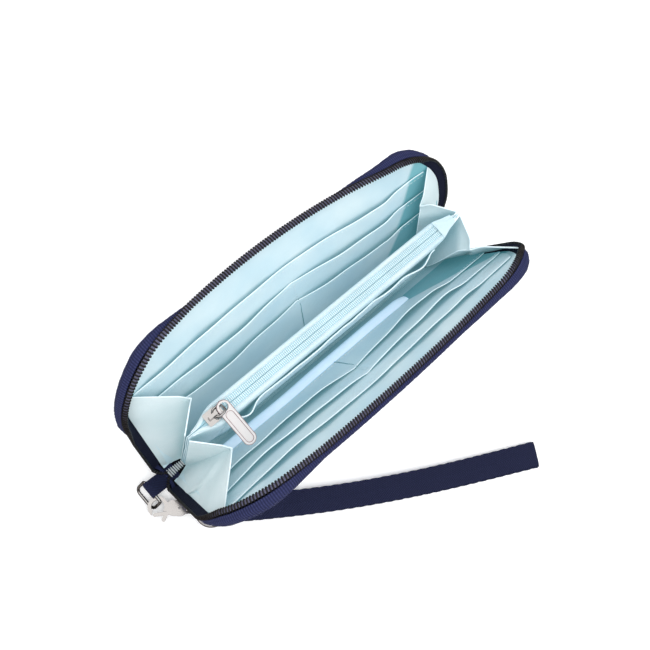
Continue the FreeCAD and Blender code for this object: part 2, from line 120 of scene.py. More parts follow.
def grid_uvs(points):
    """Distances along a grid's middle column and row, in millimetres."""
    rows, columns = points.shape[:2]
    down = np.linalg.norm(np.diff(points[:, columns // 2], axis=0), axis=1)
    over = np.linalg.norm(np.diff(points[rows // 2], axis=0), axis=1)
    v = np.concatenate([[0], np.cumsum(down)])
    u = np.concatenate([[0], np.cumsum(over)])
    return np.stack(np.meshgrid(u, v), axis=2)


def sheet(name, points, thick, material, uvs=None):
    """A closed cloth sheet of the given thickness about a grid of points."""
    points = np.asarray(points, float)
    rows, columns = points.shape[:2]
    normals = grid_normals(points)
    half = np.broadcast_to(np.asarray(thick, float) / 2, (rows, columns))[..., None] * normals
    if uvs is None:
        uvs = grid_uvs(points)
    count = rows * columns
    index = np.arange(count).reshape(rows, columns)
    a, b, c, d = index[:-1, :-1], index[:-1, 1:], index[1:, 1:], index[1:, :-1]
    top = np.stack([a, b, c, d], axis=-1).reshape(-1, 4)
    faces = top.tolist() + (top[:, ::-1] + count).tolist()
    rim = np.concatenate([index[0], index[1:, -1], index[-1, -2::-1], index[-2:0:-1, 0]])
    following = np.roll(rim, -1)
    faces += np.stack([rim, following, following + count, rim + count], axis=-1).tolist()
    verts = np.concatenate([(points + half).reshape(-1, 3), (points - half).reshape(-1, 3)])
    flat = np.asarray(uvs, float).reshape(-1, 2)
    return make_object(name, verts, faces, material, np.concatenate([flat, flat]))


def rings(name, points, material, capped=True, loop=False, uvs=None, sharp=40):
    """A tube through a grid of closed rings."""
    points = np.asarray(points, float)
    rows, sides = points.shape[:2]
    index = np.arange(rows * sides).reshape(rows, sides)
    here = index if loop else index[:-1]
    ahead = np.roll(index, -1, axis=0) if loop else index[1:]
    quads = np.stack([here, np.roll(here, -1, axis=1), np.roll(ahead, -1, axis=1), ahead], axis=-1)
    faces = quads.reshape(-1, 4).tolist()
    if capped and not loop:
        faces += [index[0][::-1].tolist(), index[-1].tolist()]
    if uvs is None:
        steps = np.linalg.norm(np.diff(points[:, 0], axis=0), axis=1)
        along = np.concatenate([[0], np.cumsum(steps)])
        spans = np.linalg.norm(np.diff(points[rows // 2], axis=0), axis=1)
        round_ = np.concatenate([[0], np.cumsum(spans)])
        uvs = np.stack(np.meshgrid(round_, along)[::-1], axis=2)
    return make_object(name, points.reshape(-1, 3), faces, material, np.asarray(uvs).reshape(-1, 2), sharp)


def tube_points(path, radius, sides=8, flat=1.0):
    """Rings of a round (or flattened) cord along a path."""
    path = np.asarray(path, float)
    ahead = np.gradient(path, axis=0)
    ahead /= np.linalg.norm(ahead, axis=1, keepdims=True)
    side = np.zeros_like(path)
    guess = np.cross(ahead[0], [0.0, 0.0, 1.0])
    if np.linalg.norm(guess) < 1e-3:
        guess = np.cross(ahead[0], [0.0, 1.0, 0.0])
    for i, t in enumerate(ahead):
        guess = guess - t * (guess @ t)
        guess = guess / np.linalg.norm(guess)
        side[i] = guess
    up = np.cross(side, ahead)
    turns = np.linspace(0, 2 * pi, sides, endpoint=False)
    radius = np.broadcast_to(np.asarray(radius, float), (len(path),))[:, None, None]
    ring = side[:, None] * np.cos(turns)[None, :, None] + up[:, None] * np.sin(turns)[None, :, None] * flat
    return path[:, None] + ring * radius


def cord(name, path, radius, material, sides=8, flat=1.0):
    return rings(name, tube_points(path, radius, sides, flat), material, sharp=60)


def seed_mesh(around=6, along=4):
    """A unit spindle along X, for stitches and ribs."""
    turns = np.linspace(0, 2 * pi, around, endpoint=False)
    lengths = np.linspace(-1, 1, along + 2)[1:-1]
    body = []
    for x in lengths:
        radius = sqrt_safe(1 - x ** 4)
        body += [[x, radius * cos(t), radius * sin(t)] for t in turns]
    points = np.array([[-1, 0, 0]] + body + [[1, 0, 0]])
    last = len(points) - 1
    faces = [[0, 1 + (i + 1) % around, 1 + i] for i in range(around)]
    for j in range(along - 1):
        base = 1 + j * around
        for i in range(around):
            k = (i + 1) % around
            faces.append([base + i, base + k, base + around + k, base + around + i])
    base = 1 + (along - 1) * around
    faces += [[last, base + i, base + (i + 1) % around] for i in range(around)]
    return points, faces


def sqrt_safe(value):
    return max(value, 0.0) ** 0.5


def spindles(name, starts, ends, radius, material, lift=None, around=6, along=4, flat=1.0):
    """Many small spindles from starts to ends, as one mesh; lift is each one's upward direction."""
    unit, unit_faces = seed_mesh(around, along)
    starts, ends = np.asarray(starts, float), np.asarray(ends, float)
    middle, half = (starts + ends) / 2, (ends - starts) / 2
    length = np.linalg.norm(half, axis=1, keepdims=True)
    x = half / length
    up = np.broadcast_to([0.0, 0.0, 1.0] if lift is None else lift, x.shape)
    y = np.cross(up, x)
    y /= np.linalg.norm(y, axis=1, keepdims=True)
    z = np.cross(x, y)
    points = (middle[:, None] + x[:, None] * unit[None, :, :1] * length[:, None]
              + y[:, None] * unit[None, :, 1:2] * radius + z[:, None] * unit[None, :, 2:] * radius * flat)
    step = len(unit)
    faces = [[i + k * step for i in f] for k in range(len(starts)) for f in unit_faces]
    return make_object(name, points.reshape(-1, 3), faces, material, sharp=80)


def resample(path, count=None, spacing=None):
    path = np.asarray(path, float)
    run = np.concatenate([[0], np.cumsum(np.linalg.norm(np.diff(path, axis=0), axis=1))])
    if count is None:
        count = max(2, int(run[-1] / spacing) + 1)
    at = np.linspace(0, run[-1], count)
    return np.stack([np.interp(at, run, path[:, k]) for k in range(3)], axis=1)


def stitch_row(name, path, body, material, lift, pitch=2.6, thread=0.2, share=0.72, slot="lining_fabric"):
    """A row of sewing thread stitches along a path, riding on a body."""
    spots = resample(path, spacing=pitch)
    step = np.diff(spots, axis=0)
    starts = spots[:-1] + step * (1 - share) / 2
    ends = spots[1:] - step * (1 - share) / 2
    return own(spindles(name, starts, ends, thread, material, lift), slot, body)


def bezier(points, count):
    """A cubic curve through four control points, each an array of the same shape."""
    t = np.linspace(0, 1, count)
    weights = [(1 - t) ** 3, 3 * t * (1 - t) ** 2, 3 * t ** 2 * (1 - t), t ** 3]
    return sum(np.multiply.outer(w, np.asarray(p, float)) for w, p in zip(weights, points))


def smooth(x):
    x = np.clip(x, 0, 1)
    return x * x * (3 - 2 * x)


def ripple(x, seed, waves=((31, 1.0), (17, 0.6), (9, 0.3))):
    """A gentle repeatable wobble between about -1 and 1."""
    x = np.asarray(x, float)
    total = sum(w * np.sin(2 * pi * x / length + seed * (i + 1.7)) for i, (length, w) in enumerate(waves))
    return total / sum(w for _, w in waves)


# --- Panels ---

class Panel:
    """One leaning, bulging half of the wallet.

    side is 1 for the front and -1 for the back, lean and twist are degrees, bow is how far the top's middle
    bulges, slump draws the far top corner in along u and out along n, and fold holds the near and the far
    gusset's fold at the top, as (distance along the spine, distance out from its middle).
    """

    def __init__(self, name, side, lean, bow, twist, slump, fold):
        self.name = name
        self.side = side
        self.lean = lean
        self.bow = bow
        self.twist = twist
        self.slump = slump
        self.fold = fold
        self.body = name + "_panel"

    def point(self, u, v, n):
        """Points u along, v up and n outward from the lining's face."""
        u, v, n = np.broadcast_arrays(*[np.asarray(x, float) for x in (u, v, n)])
        drawn = smooth((v - 45) / 45) * smooth((u - 55) / 40)
        u, n = u - self.slump[0] * drawn, n + self.slump[1] * drawn
        lean = np.radians(self.lean - self.twist * u / (LENGTH / 2) * smooth(v / 40))
        deep = n + self.bow * (1 - (2 * u / LENGTH) ** 2) * (v / HEIGHT) ** 2
        y = deep * np.cos(lean) + v * np.sin(lean) + HINGE_Y
        z = -deep * np.sin(lean) + v * np.cos(lean) + HINGE_Z
        return np.stack([u, self.side * y, z], axis=-1)

    def inward(self):
        lean = radians(self.lean)
        return np.array([0, -self.side * cos(lean), sin(lean)])

    def lay(self, inset, foot, head, depth, rows, columns):
        """A grid over the panel's outline; depth(u, v) gives the distance outward."""
        half, top, r = LENGTH / 2 - inset, HEIGHT - inset, CORNER - inset
        low = np.linspace(foot, min(top - r, head), max(2, int(rows * 0.6)))
        levels = low
        if head > top - r:
            limit = np.arcsin(min(1.0, (head - top + r) / r))
            turn = np.linspace(0, limit, rows - len(low) + 1)[1:]
            levels = np.concatenate([low, top - r + r * np.sin(turn)])
        over = np.clip((levels - top + r) / r, 0, 1)
        width = half - r + r * np.sqrt(1 - over ** 2)
        across = np.linspace(-1, 1, columns)
        u = width[:, None] * across[None]
        v = np.broadcast_to(levels[:, None], u.shape)
        return self.point(u, v, depth(u, v)), np.stack([u, v], axis=2)

    def edge(self, spacing, foot=EDGE_FOOT):
        """Stations round the outline, foot to foot: (u, v, outward u, outward v) and the run."""
        half, top, r = LENGTH / 2, HEIGHT, CORNER
        side_v = np.arange(foot, top - r, spacing)
        turn = np.linspace(0, pi / 2, int(r * pi / 2 / spacing) + 1)
        near = [(-half, v, -1, 0) for v in side_v]
        near += [(-half + r - r * cos(t), top - r + r * sin(t), -cos(t), sin(t)) for t in turn]
        across = np.linspace(-half + r, half - r, int((LENGTH - 2 * r) / spacing) + 1)[1:-1]
        far = [(-u, v, -nu, nv) for u, v, nu, nv in reversed(near)]
        stations = np.array(near + [(u, top, 0, 1) for u in across] + far)
        run = np.concatenate([[0], np.cumsum(np.linalg.norm(np.diff(stations[:, :2], axis=0), axis=1))])
        return stations, run

    def edge_points(self, stations, out, n):
        u, v, nu, nv = stations.T
        return self.point(u + out * nu, v + out * nv, n)


FRONT = Panel("front", 1, 14.2, 14.0, 2.46, (4.9, 3.5), ((73.5, 13.4), (73.5, 13.4)))
BACK = Panel("back", -1, 20.4, 3.8, 0.51, (0.0, 0.0), ((74.0, 15.8), (77.0, 14.2)))
PANELS = (FRONT, BACK)


# --- Materials ---

class Shader:
    """A node material with short calls for what the fabrics and metals need."""

    def __init__(self, name):
        self.material = bpy.data.materials.new(name)
        self.material.use_nodes = True
        self.tree = self.material.node_tree
        self.surface = self.tree.nodes["Principled BSDF"]

    def add(self, kind, inputs=(), out=0, **settings):
        node = self.tree.nodes.new(kind)
        for key, value in settings.items():
            setattr(node, key, value)
        for key, value in dict(inputs).items():
            self.put(node.inputs[key], value)
        return node.outputs[out]

    def put(self, socket, value):
        if isinstance(value, bpy.types.NodeSocket):
            self.tree.links.new(value, socket)
        else:
            socket.default_value = value

    def calc(self, operation, a, b=0.0, c=0.0):
        return self.add("ShaderNodeMath", {0: a, 1: b, 2: c}, operation=operation)

    def times(self, a, b):
        return self.calc("MULTIPLY", a, b)

    def minus(self, a, b):
        return self.calc("SUBTRACT", a, b)

    def plus(self, a, b):
        return self.calc("ADD", a, b)

    def times_plus(self, a, b, c):
        return self.calc("MULTIPLY_ADD", a, b, c)

    def fabric_place(self):
        """Millimetres on the fabric as (vector, along, across)."""
        place = self.add("ShaderNodeUVMap", uv_map="mm")
        parts = self.tree.nodes.new("ShaderNodeSeparateXYZ")
        self.put(parts.inputs[0], place)
        return place, parts.outputs[0], parts.outputs[1]

    def stretched(self, place, scale):
        return self.add("ShaderNodeVectorMath", {0: place, 1: scale}, operation="MULTIPLY")

    def space(self):
        """The object's own place in millimetres."""
        return self.stretched(self.add("ShaderNodeTexCoord", out=3), (1 / MM, 1 / MM, 1 / MM))

    def noise(self, place, scale, detail=3.0, rough=0.5):
        inputs = {"Vector": place, "Scale": scale, "Detail": detail, "Roughness": rough}
        return self.add("ShaderNodeTexNoise", inputs)

    def wave(self, value, pitch):
        """A smooth 0 to 1 ridge that repeats every pitch."""
        turn = self.times(value, 2 * pi / pitch)
        return self.times_plus(self.calc("SINE", turn), 0.5, 0.5)

    def far_painted_shade(self):
        """Painted shade: rises to one past a slanting line at each panel's far end, where the gusset shades
        the lining; no light casts it.
        """
        parts = self.tree.nodes.new("ShaderNodeSeparateXYZ")
        self.put(parts.inputs[0], self.space())
        x, y, z = parts.outputs
        softness = 2.5
        front = self.minus(x, self.times_plus(z, 0.34, 49.5))
        front = self.times(front, self.calc("GREATER_THAN", y, 9.5))
        back = self.minus(x, self.times_plus(z, 1.1, 20.5))
        back = self.times(back, self.calc("LESS_THAN", y, -9.0))
        deepest = self.calc("MAXIMUM", front, back)
        return self.add("ShaderNodeMapRange", {0: deepest, 1: 0.0, 2: softness, 3: 0.0, 4: 1.0})

    def ramp(self, value, stops):
        node = self.tree.nodes.new("ShaderNodeValToRGB")
        band = node.color_ramp
        while len(band.elements) < len(stops):
            band.elements.new(0.5)
        for element, (at, colour) in zip(band.elements, stops):
            element.position = at
            element.color = (*colour, 1)
        self.put(node.inputs[0], value)
        return node.outputs[0]

    def mix(self, share, a, b, blend="MIX"):
        node = self.tree.nodes.new("ShaderNodeMix")
        node.data_type = "RGBA"
        node.blend_type = blend
        self.put(node.inputs[0], share)
        self.put(node.inputs[6], a if isinstance(a, bpy.types.NodeSocket) else (*a, 1))
        self.put(node.inputs[7], b if isinstance(b, bpy.types.NodeSocket) else (*b, 1))
        return node.outputs[2]

    def bump(self, height, strength, distance, under=None):
        inputs = {"Height": height, "Strength": strength, "Distance": distance * MM}
        if under is not None:
            inputs["Normal"] = under
        return self.add("ShaderNodeBump", inputs)

    def finish(self, **values):
        for key, value in values.items():
            name = key.replace("_", " ")
            if name.endswith(" Colour"):
                name = name.replace("Colour", "Color")
            if not isinstance(value, bpy.types.NodeSocket) and isinstance(value, tuple) and len(value) == 3:
                if self.surface.inputs[name].type == "RGBA":
                    value = (*value, 1)
            self.put(self.surface.inputs[name], value)
        return self.material


# Painted shade colour, laid on the lining in hollows and behind the far gussets.
TEAL_SHADE = (0.06, 0.36, 0.41)


def lining_fabric(name, colour=(0.52, 0.68, 0.745), pale=(0.64, 0.755, 0.79), glow=0.14, tuck=0.0):
    """Crisp woven nylon: a fine weave, faint creases and a soft sheen, plus painted light: a glow that
    lifts its shadows.

    Its colour is darkened to painted teal shade in hollows, and by the share tuck to painted shade behind
    the far gussets.
    """
    s = Shader(name)
    place, along, across = s.fabric_place()
    weave = s.times(s.wave(along, 0.42), s.wave(across, 0.42))
    cloud = s.noise(place, 0.035, 2.0)
    crease = s.noise(place, 0.11, 5.0, 0.62)
    slub = s.noise(s.stretched(place, (0.12, 2.6, 1)), 1.0, 2.0)
    tint = s.ramp(cloud, [(0.35, colour), (0.68, pale)])
    tint = s.mix(s.times(weave, 0.10), tint, (0.80, 0.90, 0.93))
    tint = s.mix(s.times(slub, 0.12), tint, (0.34, 0.56, 0.64))
    # Painted shade: hollows found by ambient occlusion are tinted teal.
    open_sky = s.add("ShaderNodeAmbientOcclusion", {"Distance": 12 * MM}, out=1, samples=4)
    deep = s.ramp(open_sky, [(0.05, (1, 1, 1)), (0.34, (0, 0, 0))])  # 1 in hollows
    tint = s.mix(s.times(deep, 0.6), tint, TEAL_SHADE)
    # Painted shade behind the far gussets, by the share tuck.
    tint = s.mix(s.times(s.far_painted_shade(), tuck), tint, TEAL_SHADE)
    creased = s.bump(crease, 0.45, 1.4)
    woven = s.bump(s.plus(weave, s.times(slub, 0.6)), 0.25, 0.12, creased)
    # Emission is painted light: the fabric glows by the share glow to lift its shadows.
    return s.finish(Base_Colour=tint, Roughness=s.times_plus(crease, 0.2, 0.42), Normal=woven,
                    Sheen_Weight=0.10, Sheen_Roughness=0.4, Specular_IOR_Level=0.25,
                    Emission_Colour=tint, Emission_Strength=glow)


def grosgrain(name, colour, light, pitch=0.9, along_axis=True, speck=0.5):
    """Ribbed tape: ribs across its length, with lighter threads showing in the hollows."""
    s = Shader(name)
    place, along, across = s.fabric_place()
    rib = s.wave(along if along_axis else across, pitch)
    pick = s.wave(across if along_axis else along, 0.55)
    fuzz = s.noise(place, 3.2, 3.0, 0.7)
    cloud = s.noise(place, 0.05, 2.0)
    thread = s.times(rib, s.times_plus(pick, 0.5, 0.5))
    tint = s.mix(s.times(thread, speck), colour, light)
    tint = s.mix(s.times(fuzz, 0.35), tint, tuple(c * 0.45 for c in colour))
    tint = s.mix(s.times(cloud, 0.12), tint, light)
    relief = s.bump(s.plus(thread, s.times(fuzz, 0.4)), 0.7, 0.35)
    return s.finish(Base_Colour=tint, Roughness=0.78, Normal=relief, Specular_IOR_Level=0.12)


def coin_tape_cloth(name):
    """White tape with an aqua ground under the coil's ribs and a darker sewn line along each half."""
    s = Shader(name)
    place, along, across = s.fabric_place()
    fuzz = s.noise(place, 1.4, 3.0, 0.6)
    under_coil = s.calc("LESS_THAN", across, 3.0)
    sewn_at, sewn_half = 3.3, 0.16
    tint = s.mix(s.times(s.wave(along, 0.6), 0.25), (0.84, 0.90, 0.92), (0.60, 0.77, 0.82))
    tint = s.mix(s.times(under_coil, 0.85), tint, (0.30, 0.56, 0.65))
    line = s.calc("LESS_THAN", s.calc("ABSOLUTE", s.minus(across, sewn_at)), sewn_half)
    tint = s.mix(s.times(line, 0.55), tint, (0.22, 0.33, 0.37))
    relief = s.bump(s.plus(s.wave(along, 0.6), s.times(fuzz, 0.5)), 0.3, 0.2)
    # Emission is painted light: the tape glows to lift its shadows.
    return s.finish(Base_Colour=tint, Roughness=0.6, Normal=relief, Specular_IOR_Level=0.2,
                    Emission_Colour=tint, Emission_Strength=0.12)


def webbing(name, colour, light):
    """Twill webbing: a diagonal weave in the strap's navy thread."""
    s = Shader(name)
    place, along, across = s.fabric_place()
    middle = 6.3
    slant = s.plus(s.times(along, 0.85), s.calc("ABSOLUTE", s.minus(across, middle)))
    twill = s.wave(slant, 1.25)
    cross = s.wave(s.minus(along, across), 0.62)
    fuzz = s.noise(place, 2.6, 3.0, 0.7)
    height = s.plus(twill, s.times(cross, 0.45))
    tint = s.mix(s.times(s.times(twill, cross), 0.55), colour, light)
    tint = s.mix(s.times(fuzz, 0.3), tint, tuple(c * 0.4 for c in colour))
    relief = s.bump(height, 0.6, 0.35)
    return s.finish(Base_Colour=tint, Roughness=0.8, Normal=relief, Specular_IOR_Level=0.12)


def nylon_coil(name, colour, edge, rough=0.33):
    s = Shader(name)
    fuzz = s.noise(s.space(), 1.5, 2.0)
    tint = s.mix(s.times(fuzz, 0.5), colour, edge)
    return s.finish(Base_Colour=tint, Roughness=s.times_plus(fuzz, 0.2, rough),
                    Specular_IOR_Level=0.5, Normal=s.bump(fuzz, 0.15, 0.1))


def thread(name, colour):
    s = Shader(name)
    twist = s.noise(s.space(), 4.0, 2.0)
    tint = s.mix(s.times(twist, 0.3), colour, tuple(c * 0.6 for c in colour))
    return s.finish(Base_Colour=tint, Roughness=0.6, Normal=s.bump(twist, 0.4, 0.15), Sheen_Weight=0.2)


BLACK, WHITE = (0, 0, 0), (1, 1, 1)


def plated_metal(name, tint=(0.84, 0.82, 0.81), dark=(0.035, 0.03, 0.03), rough=0.12, mirror=1.0,
                 flags=0.9):
    """Nickel plate, faintly smeared, with painted shade and reflection: darker where it turns away, and by
    flags in two painted bands of reflection.
    """
    s = Shader(name)
    place = s.space()
    smear = s.noise(place, 0.18, 3.0)
    scratch = s.noise(s.stretched(place, (0.4, 7.0, 0.4)), 1.0, 2.0)
    gloss = s.times_plus(smear, 0.12, rough - 0.06)
    # Painted shade: the colour darkens towards edges that turn away from view.
    turned = s.add("ShaderNodeLayerWeight", {"Blend": 0.5}, out=1)
    middle = tuple((a + b) / 2 for a, b in zip(tint, dark))
    shade = s.ramp(turned, [(0.0, tint), (0.2, tint), (0.42, middle), (0.62, dark)])
    # Painted reflection: dark bands read off the reflection direction.
    mirrored = s.tree.nodes.new("ShaderNodeSeparateXYZ")
    s.put(mirrored.inputs[0], s.add("ShaderNodeTexCoord", out=6))
    sideways = s.times_plus(mirrored.outputs[0], 0.5, 0.5)
    bands = [(0.30, BLACK), (0.37, WHITE), (0.44, BLACK), (0.80, BLACK), (0.88, WHITE)]
    flag = s.ramp(sideways, bands)
    shade = s.mix(s.times(flag, flags), shade, dark)
    colour = s.mix(s.times(smear, 0.25), shade, (0.60, 0.57, 0.55), "MULTIPLY")
    relief = s.bump(s.plus(smear, s.times(scratch, 0.25)), 0.06, 0.2)
    return s.finish(Base_Colour=colour, Metallic=mirror, Roughness=gloss, Normal=relief)


def cover_fabric(name):
    """White and navy jacquard in rows of overlapping scallops."""
    s = Shader(name)
    place, along, across = s.fabric_place()
    width, rise = 11.0, 5.5
    row = s.calc("FLOOR", s.calc("DIVIDE", across, rise))
    shift = s.times(s.calc("MODULO", row, 2.0), 0.5)
    u = s.minus(s.calc("FRACT", s.plus(s.calc("DIVIDE", along, width), shift)), 0.5)
    v = s.calc("FRACT", s.calc("DIVIDE", across, rise))
    reach = s.calc("SQRT", s.plus(s.times(s.times(u, u), 4.0), s.times(v, v)))
    bands = s.calc("ABSOLUTE", s.minus(s.calc("FRACT", s.times(reach, 2.0)), 0.5))
    ink = s.calc("GREATER_THAN", bands, 0.27)
    rib = s.times(s.wave(along, 0.5), s.wave(across, 0.5))
    fuzz = s.noise(place, 1.6, 3.0, 0.6)
    tint = s.mix(ink, (0.83, 0.84, 0.86), (0.022, 0.026, 0.11))
    tint = s.mix(s.times(rib, 0.18), tint, (0.25, 0.27, 0.38))
    relief = s.bump(s.plus(rib, s.times(ink, 0.7)), 0.45, 0.25, s.bump(fuzz, 0.15, 0.3))
    return s.finish(Base_Colour=tint, Roughness=0.78, Normal=relief, Sheen_Weight=0.2,
                    Specular_IOR_Level=0.2)


def floor_paint(name):
    """Pale paint with a faint grain; its colour is painted darker where reflections see it, standing in for
    a studio with black flags.
    """
    s = Shader(name)
    grain = s.noise(s.space(), 0.02, 2.0)
    tint = s.mix(s.times(grain, 0.1), (0.93, 0.93, 0.93), (0.88, 0.88, 0.88))
    # Painted reflection: reflected rays see the floor darker.
    mirrored = s.add("ShaderNodeLightPath", out=3)
    tint = s.mix(mirrored, tint, (0.16, 0.14, 0.13))
    return s.finish(Base_Colour=tint, Roughness=0.9, Specular_IOR_Level=0.1,
                    Emission_Colour=tint, Emission_Strength=0.2)


NAVY = (0.016, 0.019, 0.056)
NAVY_LIGHT = (0.075, 0.085, 0.23)

# The lining carries painted shade behind the far gussets at a share of 0.75.
LINING = lining_fabric("lining nylon", tuck=0.75)
# Painted shade: the gussets get a greyer, dimmer copy of the lining nylon for the shade on them.
GUSSET_SHADED = lining_fabric("gusset nylon", (0.56, 0.68, 0.70), (0.65, 0.74, 0.76), 0.12)
# Painted highlight: fold edges get a paler, brighter-glowing copy of the lining nylon.
HEM_HIGHLIGHT = lining_fabric("hem nylon", (0.78, 0.89, 0.93), (0.85, 0.93, 0.95), 0.20)
# Painted highlight: the roll on the back card slots gets a pale, strongly glowing copy of the lining nylon.
FOLD_HIGHLIGHT = lining_fabric("inner fold nylon", (0.66, 0.78, 0.92), (0.72, 0.83, 0.95), 0.34)
TAPE = coin_tape_cloth("coin zip tape")
RIBS = nylon_coil("coin zip coil", (0.74, 0.88, 0.92), (0.86, 0.94, 0.96), 0.45)
BAND = grosgrain("navy edge band", NAVY, NAVY_LIGHT, 1.05, speck=0.6)
ZIP_TAPE = grosgrain("navy zip tape", (0.007, 0.008, 0.022), (0.020, 0.023, 0.060), 0.8)
CHAIN_TAPE = grosgrain("black zip tape", (0.004, 0.004, 0.006), (0.012, 0.012, 0.018), 0.8)
BLACK_COIL = nylon_coil("black coil", (0.004, 0.004, 0.005), (0.030, 0.024, 0.022), 0.32)
COIL_CORD = nylon_coil("coil cord", (0.10, 0.10, 0.17), (0.18, 0.18, 0.27), 0.5)
# Painted highlight: the near end's joined coil is light grey where black nylon catches the light.
CHAIN_COIL = nylon_coil("worn coil", (0.52, 0.55, 0.56), (0.82, 0.84, 0.84), 0.3)
STRAP = webbing("strap webbing", (0.013, 0.016, 0.040), (0.050, 0.056, 0.15))
COVER = cover_fabric("cover jacquard")
PALE_THREAD = thread("pale thread", (0.74, 0.86, 0.90))
NAVY_THREAD = thread("navy thread", (0.02, 0.024, 0.09))
WHITE_THREAD = thread("white thread", (0.86, 0.90, 0.92))
METAL = plated_metal("nickel plate")
PULL_METAL = plated_metal("satin nickel", (0.93, 0.90, 0.895), (0.42, 0.30, 0.30), 0.36, 0.35, 0.0)
GROOVE_SHADOW = thread("groove shadow", (0.34, 0.22, 0.22))
CREASE_SHADOW = thread("crease shadow", (0.10, 0.36, 0.40))


def own(obj, slot, body, *nodes):
    """Gives a piece the body it rides on and lets it stand for CAD nodes; slot is not used."""
    if nodes:
        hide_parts(*nodes)
    if body is not None:
        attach(obj, body)
    return obj


# --- Panel pieces ---

def hinge_blend(obj):
    """Bakes a piece's placement into its mesh."""
    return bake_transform(obj)


def press(pieces, anchor):
    """Gives each piece its own copy of its mesh."""
    anchor = tuple(np.asarray(anchor) * MM)
    for obj in pieces:
        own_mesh(obj)


def press_on_panel(panel, *pieces):
    """Passes pieces of the back panel to press, which gives them their own meshes; the front panel's are
    left as they are.
    """
    if panel is BACK:
        press(pieces, BACK.point(0, 60, 0.9))


def panel_lining(panel):
    """The lining's face, carried down and round to the middle of the spine."""
    def wrinkle(u, v):
        held = smooth((v - 5) / 30) * smooth((98 - v) / 14)
        return 0.1 + 0.35 * ripple(u + 0.4 * v, 2 + panel.side) * held

    upper, uv = panel.lay(0.4, 4.0, HEIGHT, wrinkle, 70, 110)
    u = upper[0, :, 0]
    lip = panel.point(u, 4.0, 0.2)
    middle = xyz(u, 0.0, 1.6)
    down = lip - [0, 0.1 * panel.side, 2.2]
    inner = middle + [0, 3.5 * panel.side, 0.0]
    foot = bezier([middle, inner, down, lip], 9)[:-1]
    points = np.concatenate([foot, upper])
    run = np.linspace(-8, 3.4, 8)[:, None] * np.ones_like(u)[None]
    uvs = np.concatenate([np.stack([np.broadcast_to(u, run.shape), run], axis=2), uv])
    piece = sheet(panel.name + "_lining_sheet", points, 0.4, LINING, uvs)
    own(piece, "lining_fabric", None, panel.name + "_lining")
    return hinge_blend(piece)


def pocket_slack(u, v, top, seed, divided):
    """How far a pocket hangs open from its backing, most at mid span of its open edge."""
    reach = np.clip(np.abs(u) / (LENGTH / 2 - 9), 0, 1)
    if divided:
        span = np.sin(pi * reach ** 1.05) ** 0.75
    else:
        span = 0.35 * np.cos(pi / 2 * reach) + 0.65 * np.sin(pi * reach ** 1.5)
    sway = 1 + 0.22 * ripple(u, seed, ((67, 1.0), (29, 0.4)))
    held = 1 - 0.6 * smooth((u - 58) / 14)
    return span * sway * held * np.clip(v / top, 0, 1.02) ** 5


def pocket(panel, node, top, base, slack, divided, seed):
    """A pocket sheet with a folded, thicker hem at its open edge and a row of stitches under it; the fold's
    cord has a painted highlight.
    """
    def depth(u, v):
        return base - slack * pocket_slack(u, v, top, seed, divided)

    points, uv = panel.lay(3.2, 3.4, top, depth, 64, 120)
    level = uv[:, 0, 1]
    hem = smooth((level - (top - 2.6)) / 0.5) * 0.28
    thick = 0.34 + hem
    thick[-1] = 0.3
    name = f"{panel.name}_{node}"
    piece = sheet(name + "_sheet", points, thick[:, None], LINING, uv)
    own(piece, "lining_fabric", panel.body, name)
    u = np.linspace(-1, 1, 160) * (uv[-1, -1, 0] - 0.5)
    line = panel.point(u, top - 2.2, depth(u, top - 2.2) - 0.32)
    stitches = stitch_row(name + "_stitches", line, panel.body, PALE_THREAD, panel.inward(), 2.4, 0.13)
    edge = cord(name + "_fold", panel.point(u, top - 0.1, depth(u, top - 0.1)), 0.27, HEM_HIGHLIGHT)
    own(edge, "lining_fabric", panel.body)
    press_on_panel(panel, piece, stitches, edge)


def divider(panel, top):
    """The seam that splits the card slots in two: a sewn crease up the middle, its shadow painted as a dark
    cord beside it.
    """
    name = panel.name + "_divider"
    depth = -2.9
    v = np.linspace(12, top, 40)
    u = 1.2 + 0.4 * ripple(v, 3)
    line = panel.point(u, v, depth)
    row = stitch_row(name + "_stitches", line, panel.body, PALE_THREAD, panel.inward(), 2.4, 0.16)
    covered = v[:32]
    # Painted shadow: a dark cord along the crease.
    shadow = cord(name + "_crease", panel.point(u[:32] + 0.5, covered, depth), 0.22, CREASE_SHADOW, 6)
    own(shadow, "lining_fabric", panel.body)
    press_on_panel(panel, row, shadow)


# Cross sections of a panel's edge as (out, outward) points. Along the tops the band is tucked under the
# coil, round the corners it faces up, and on the sides the tape stands up with the coil on its rim.
BAND_SHAPES = {
    "hidden": [(-4.0, 3.3), (-1.8, 2.2), (0.2, 0.4), (2.2, -2.4), (3.2, -2.7),
               (3.9, -1.8), (1.5, 0.4), (-1.1, 2.4), (-4.0, 4.0)],
    "narrow": [(-4.0, 3.0), (-0.6, 1.9), (1.6, 0.3), (3.4, -2.2), (4.6, -2.3),
               (4.8, -0.6), (3.0, 1.1), (0.0, 2.4), (-4.0, 3.8)],
    "wide": [(-4.0, 3.5), (0.9, 3.5), (3.2, 1.4), (4.2, -2.4), (4.9, -2.7),
             (5.9, 0.3), (4.4, 3.3), (1.4, 4.8), (-4.0, 4.4)],
    "medium": [(-4.0, 3.2), (0.0, 2.6), (2.2, 0.8), (3.7, -2.3), (4.7, -2.5),
               (5.2, -0.3), (3.6, 2.0), (0.6, 3.4), (-4.0, 4.1)],
    "side": [(-4.0, 3.3), (0.7, 2.8), (1.8, 1.3), (3.9, -0.3), (4.6, -0.4),
             (4.0, 0.6), (2.6, 2.2), (1.0, 3.3), (-4.0, 4.0)],
}
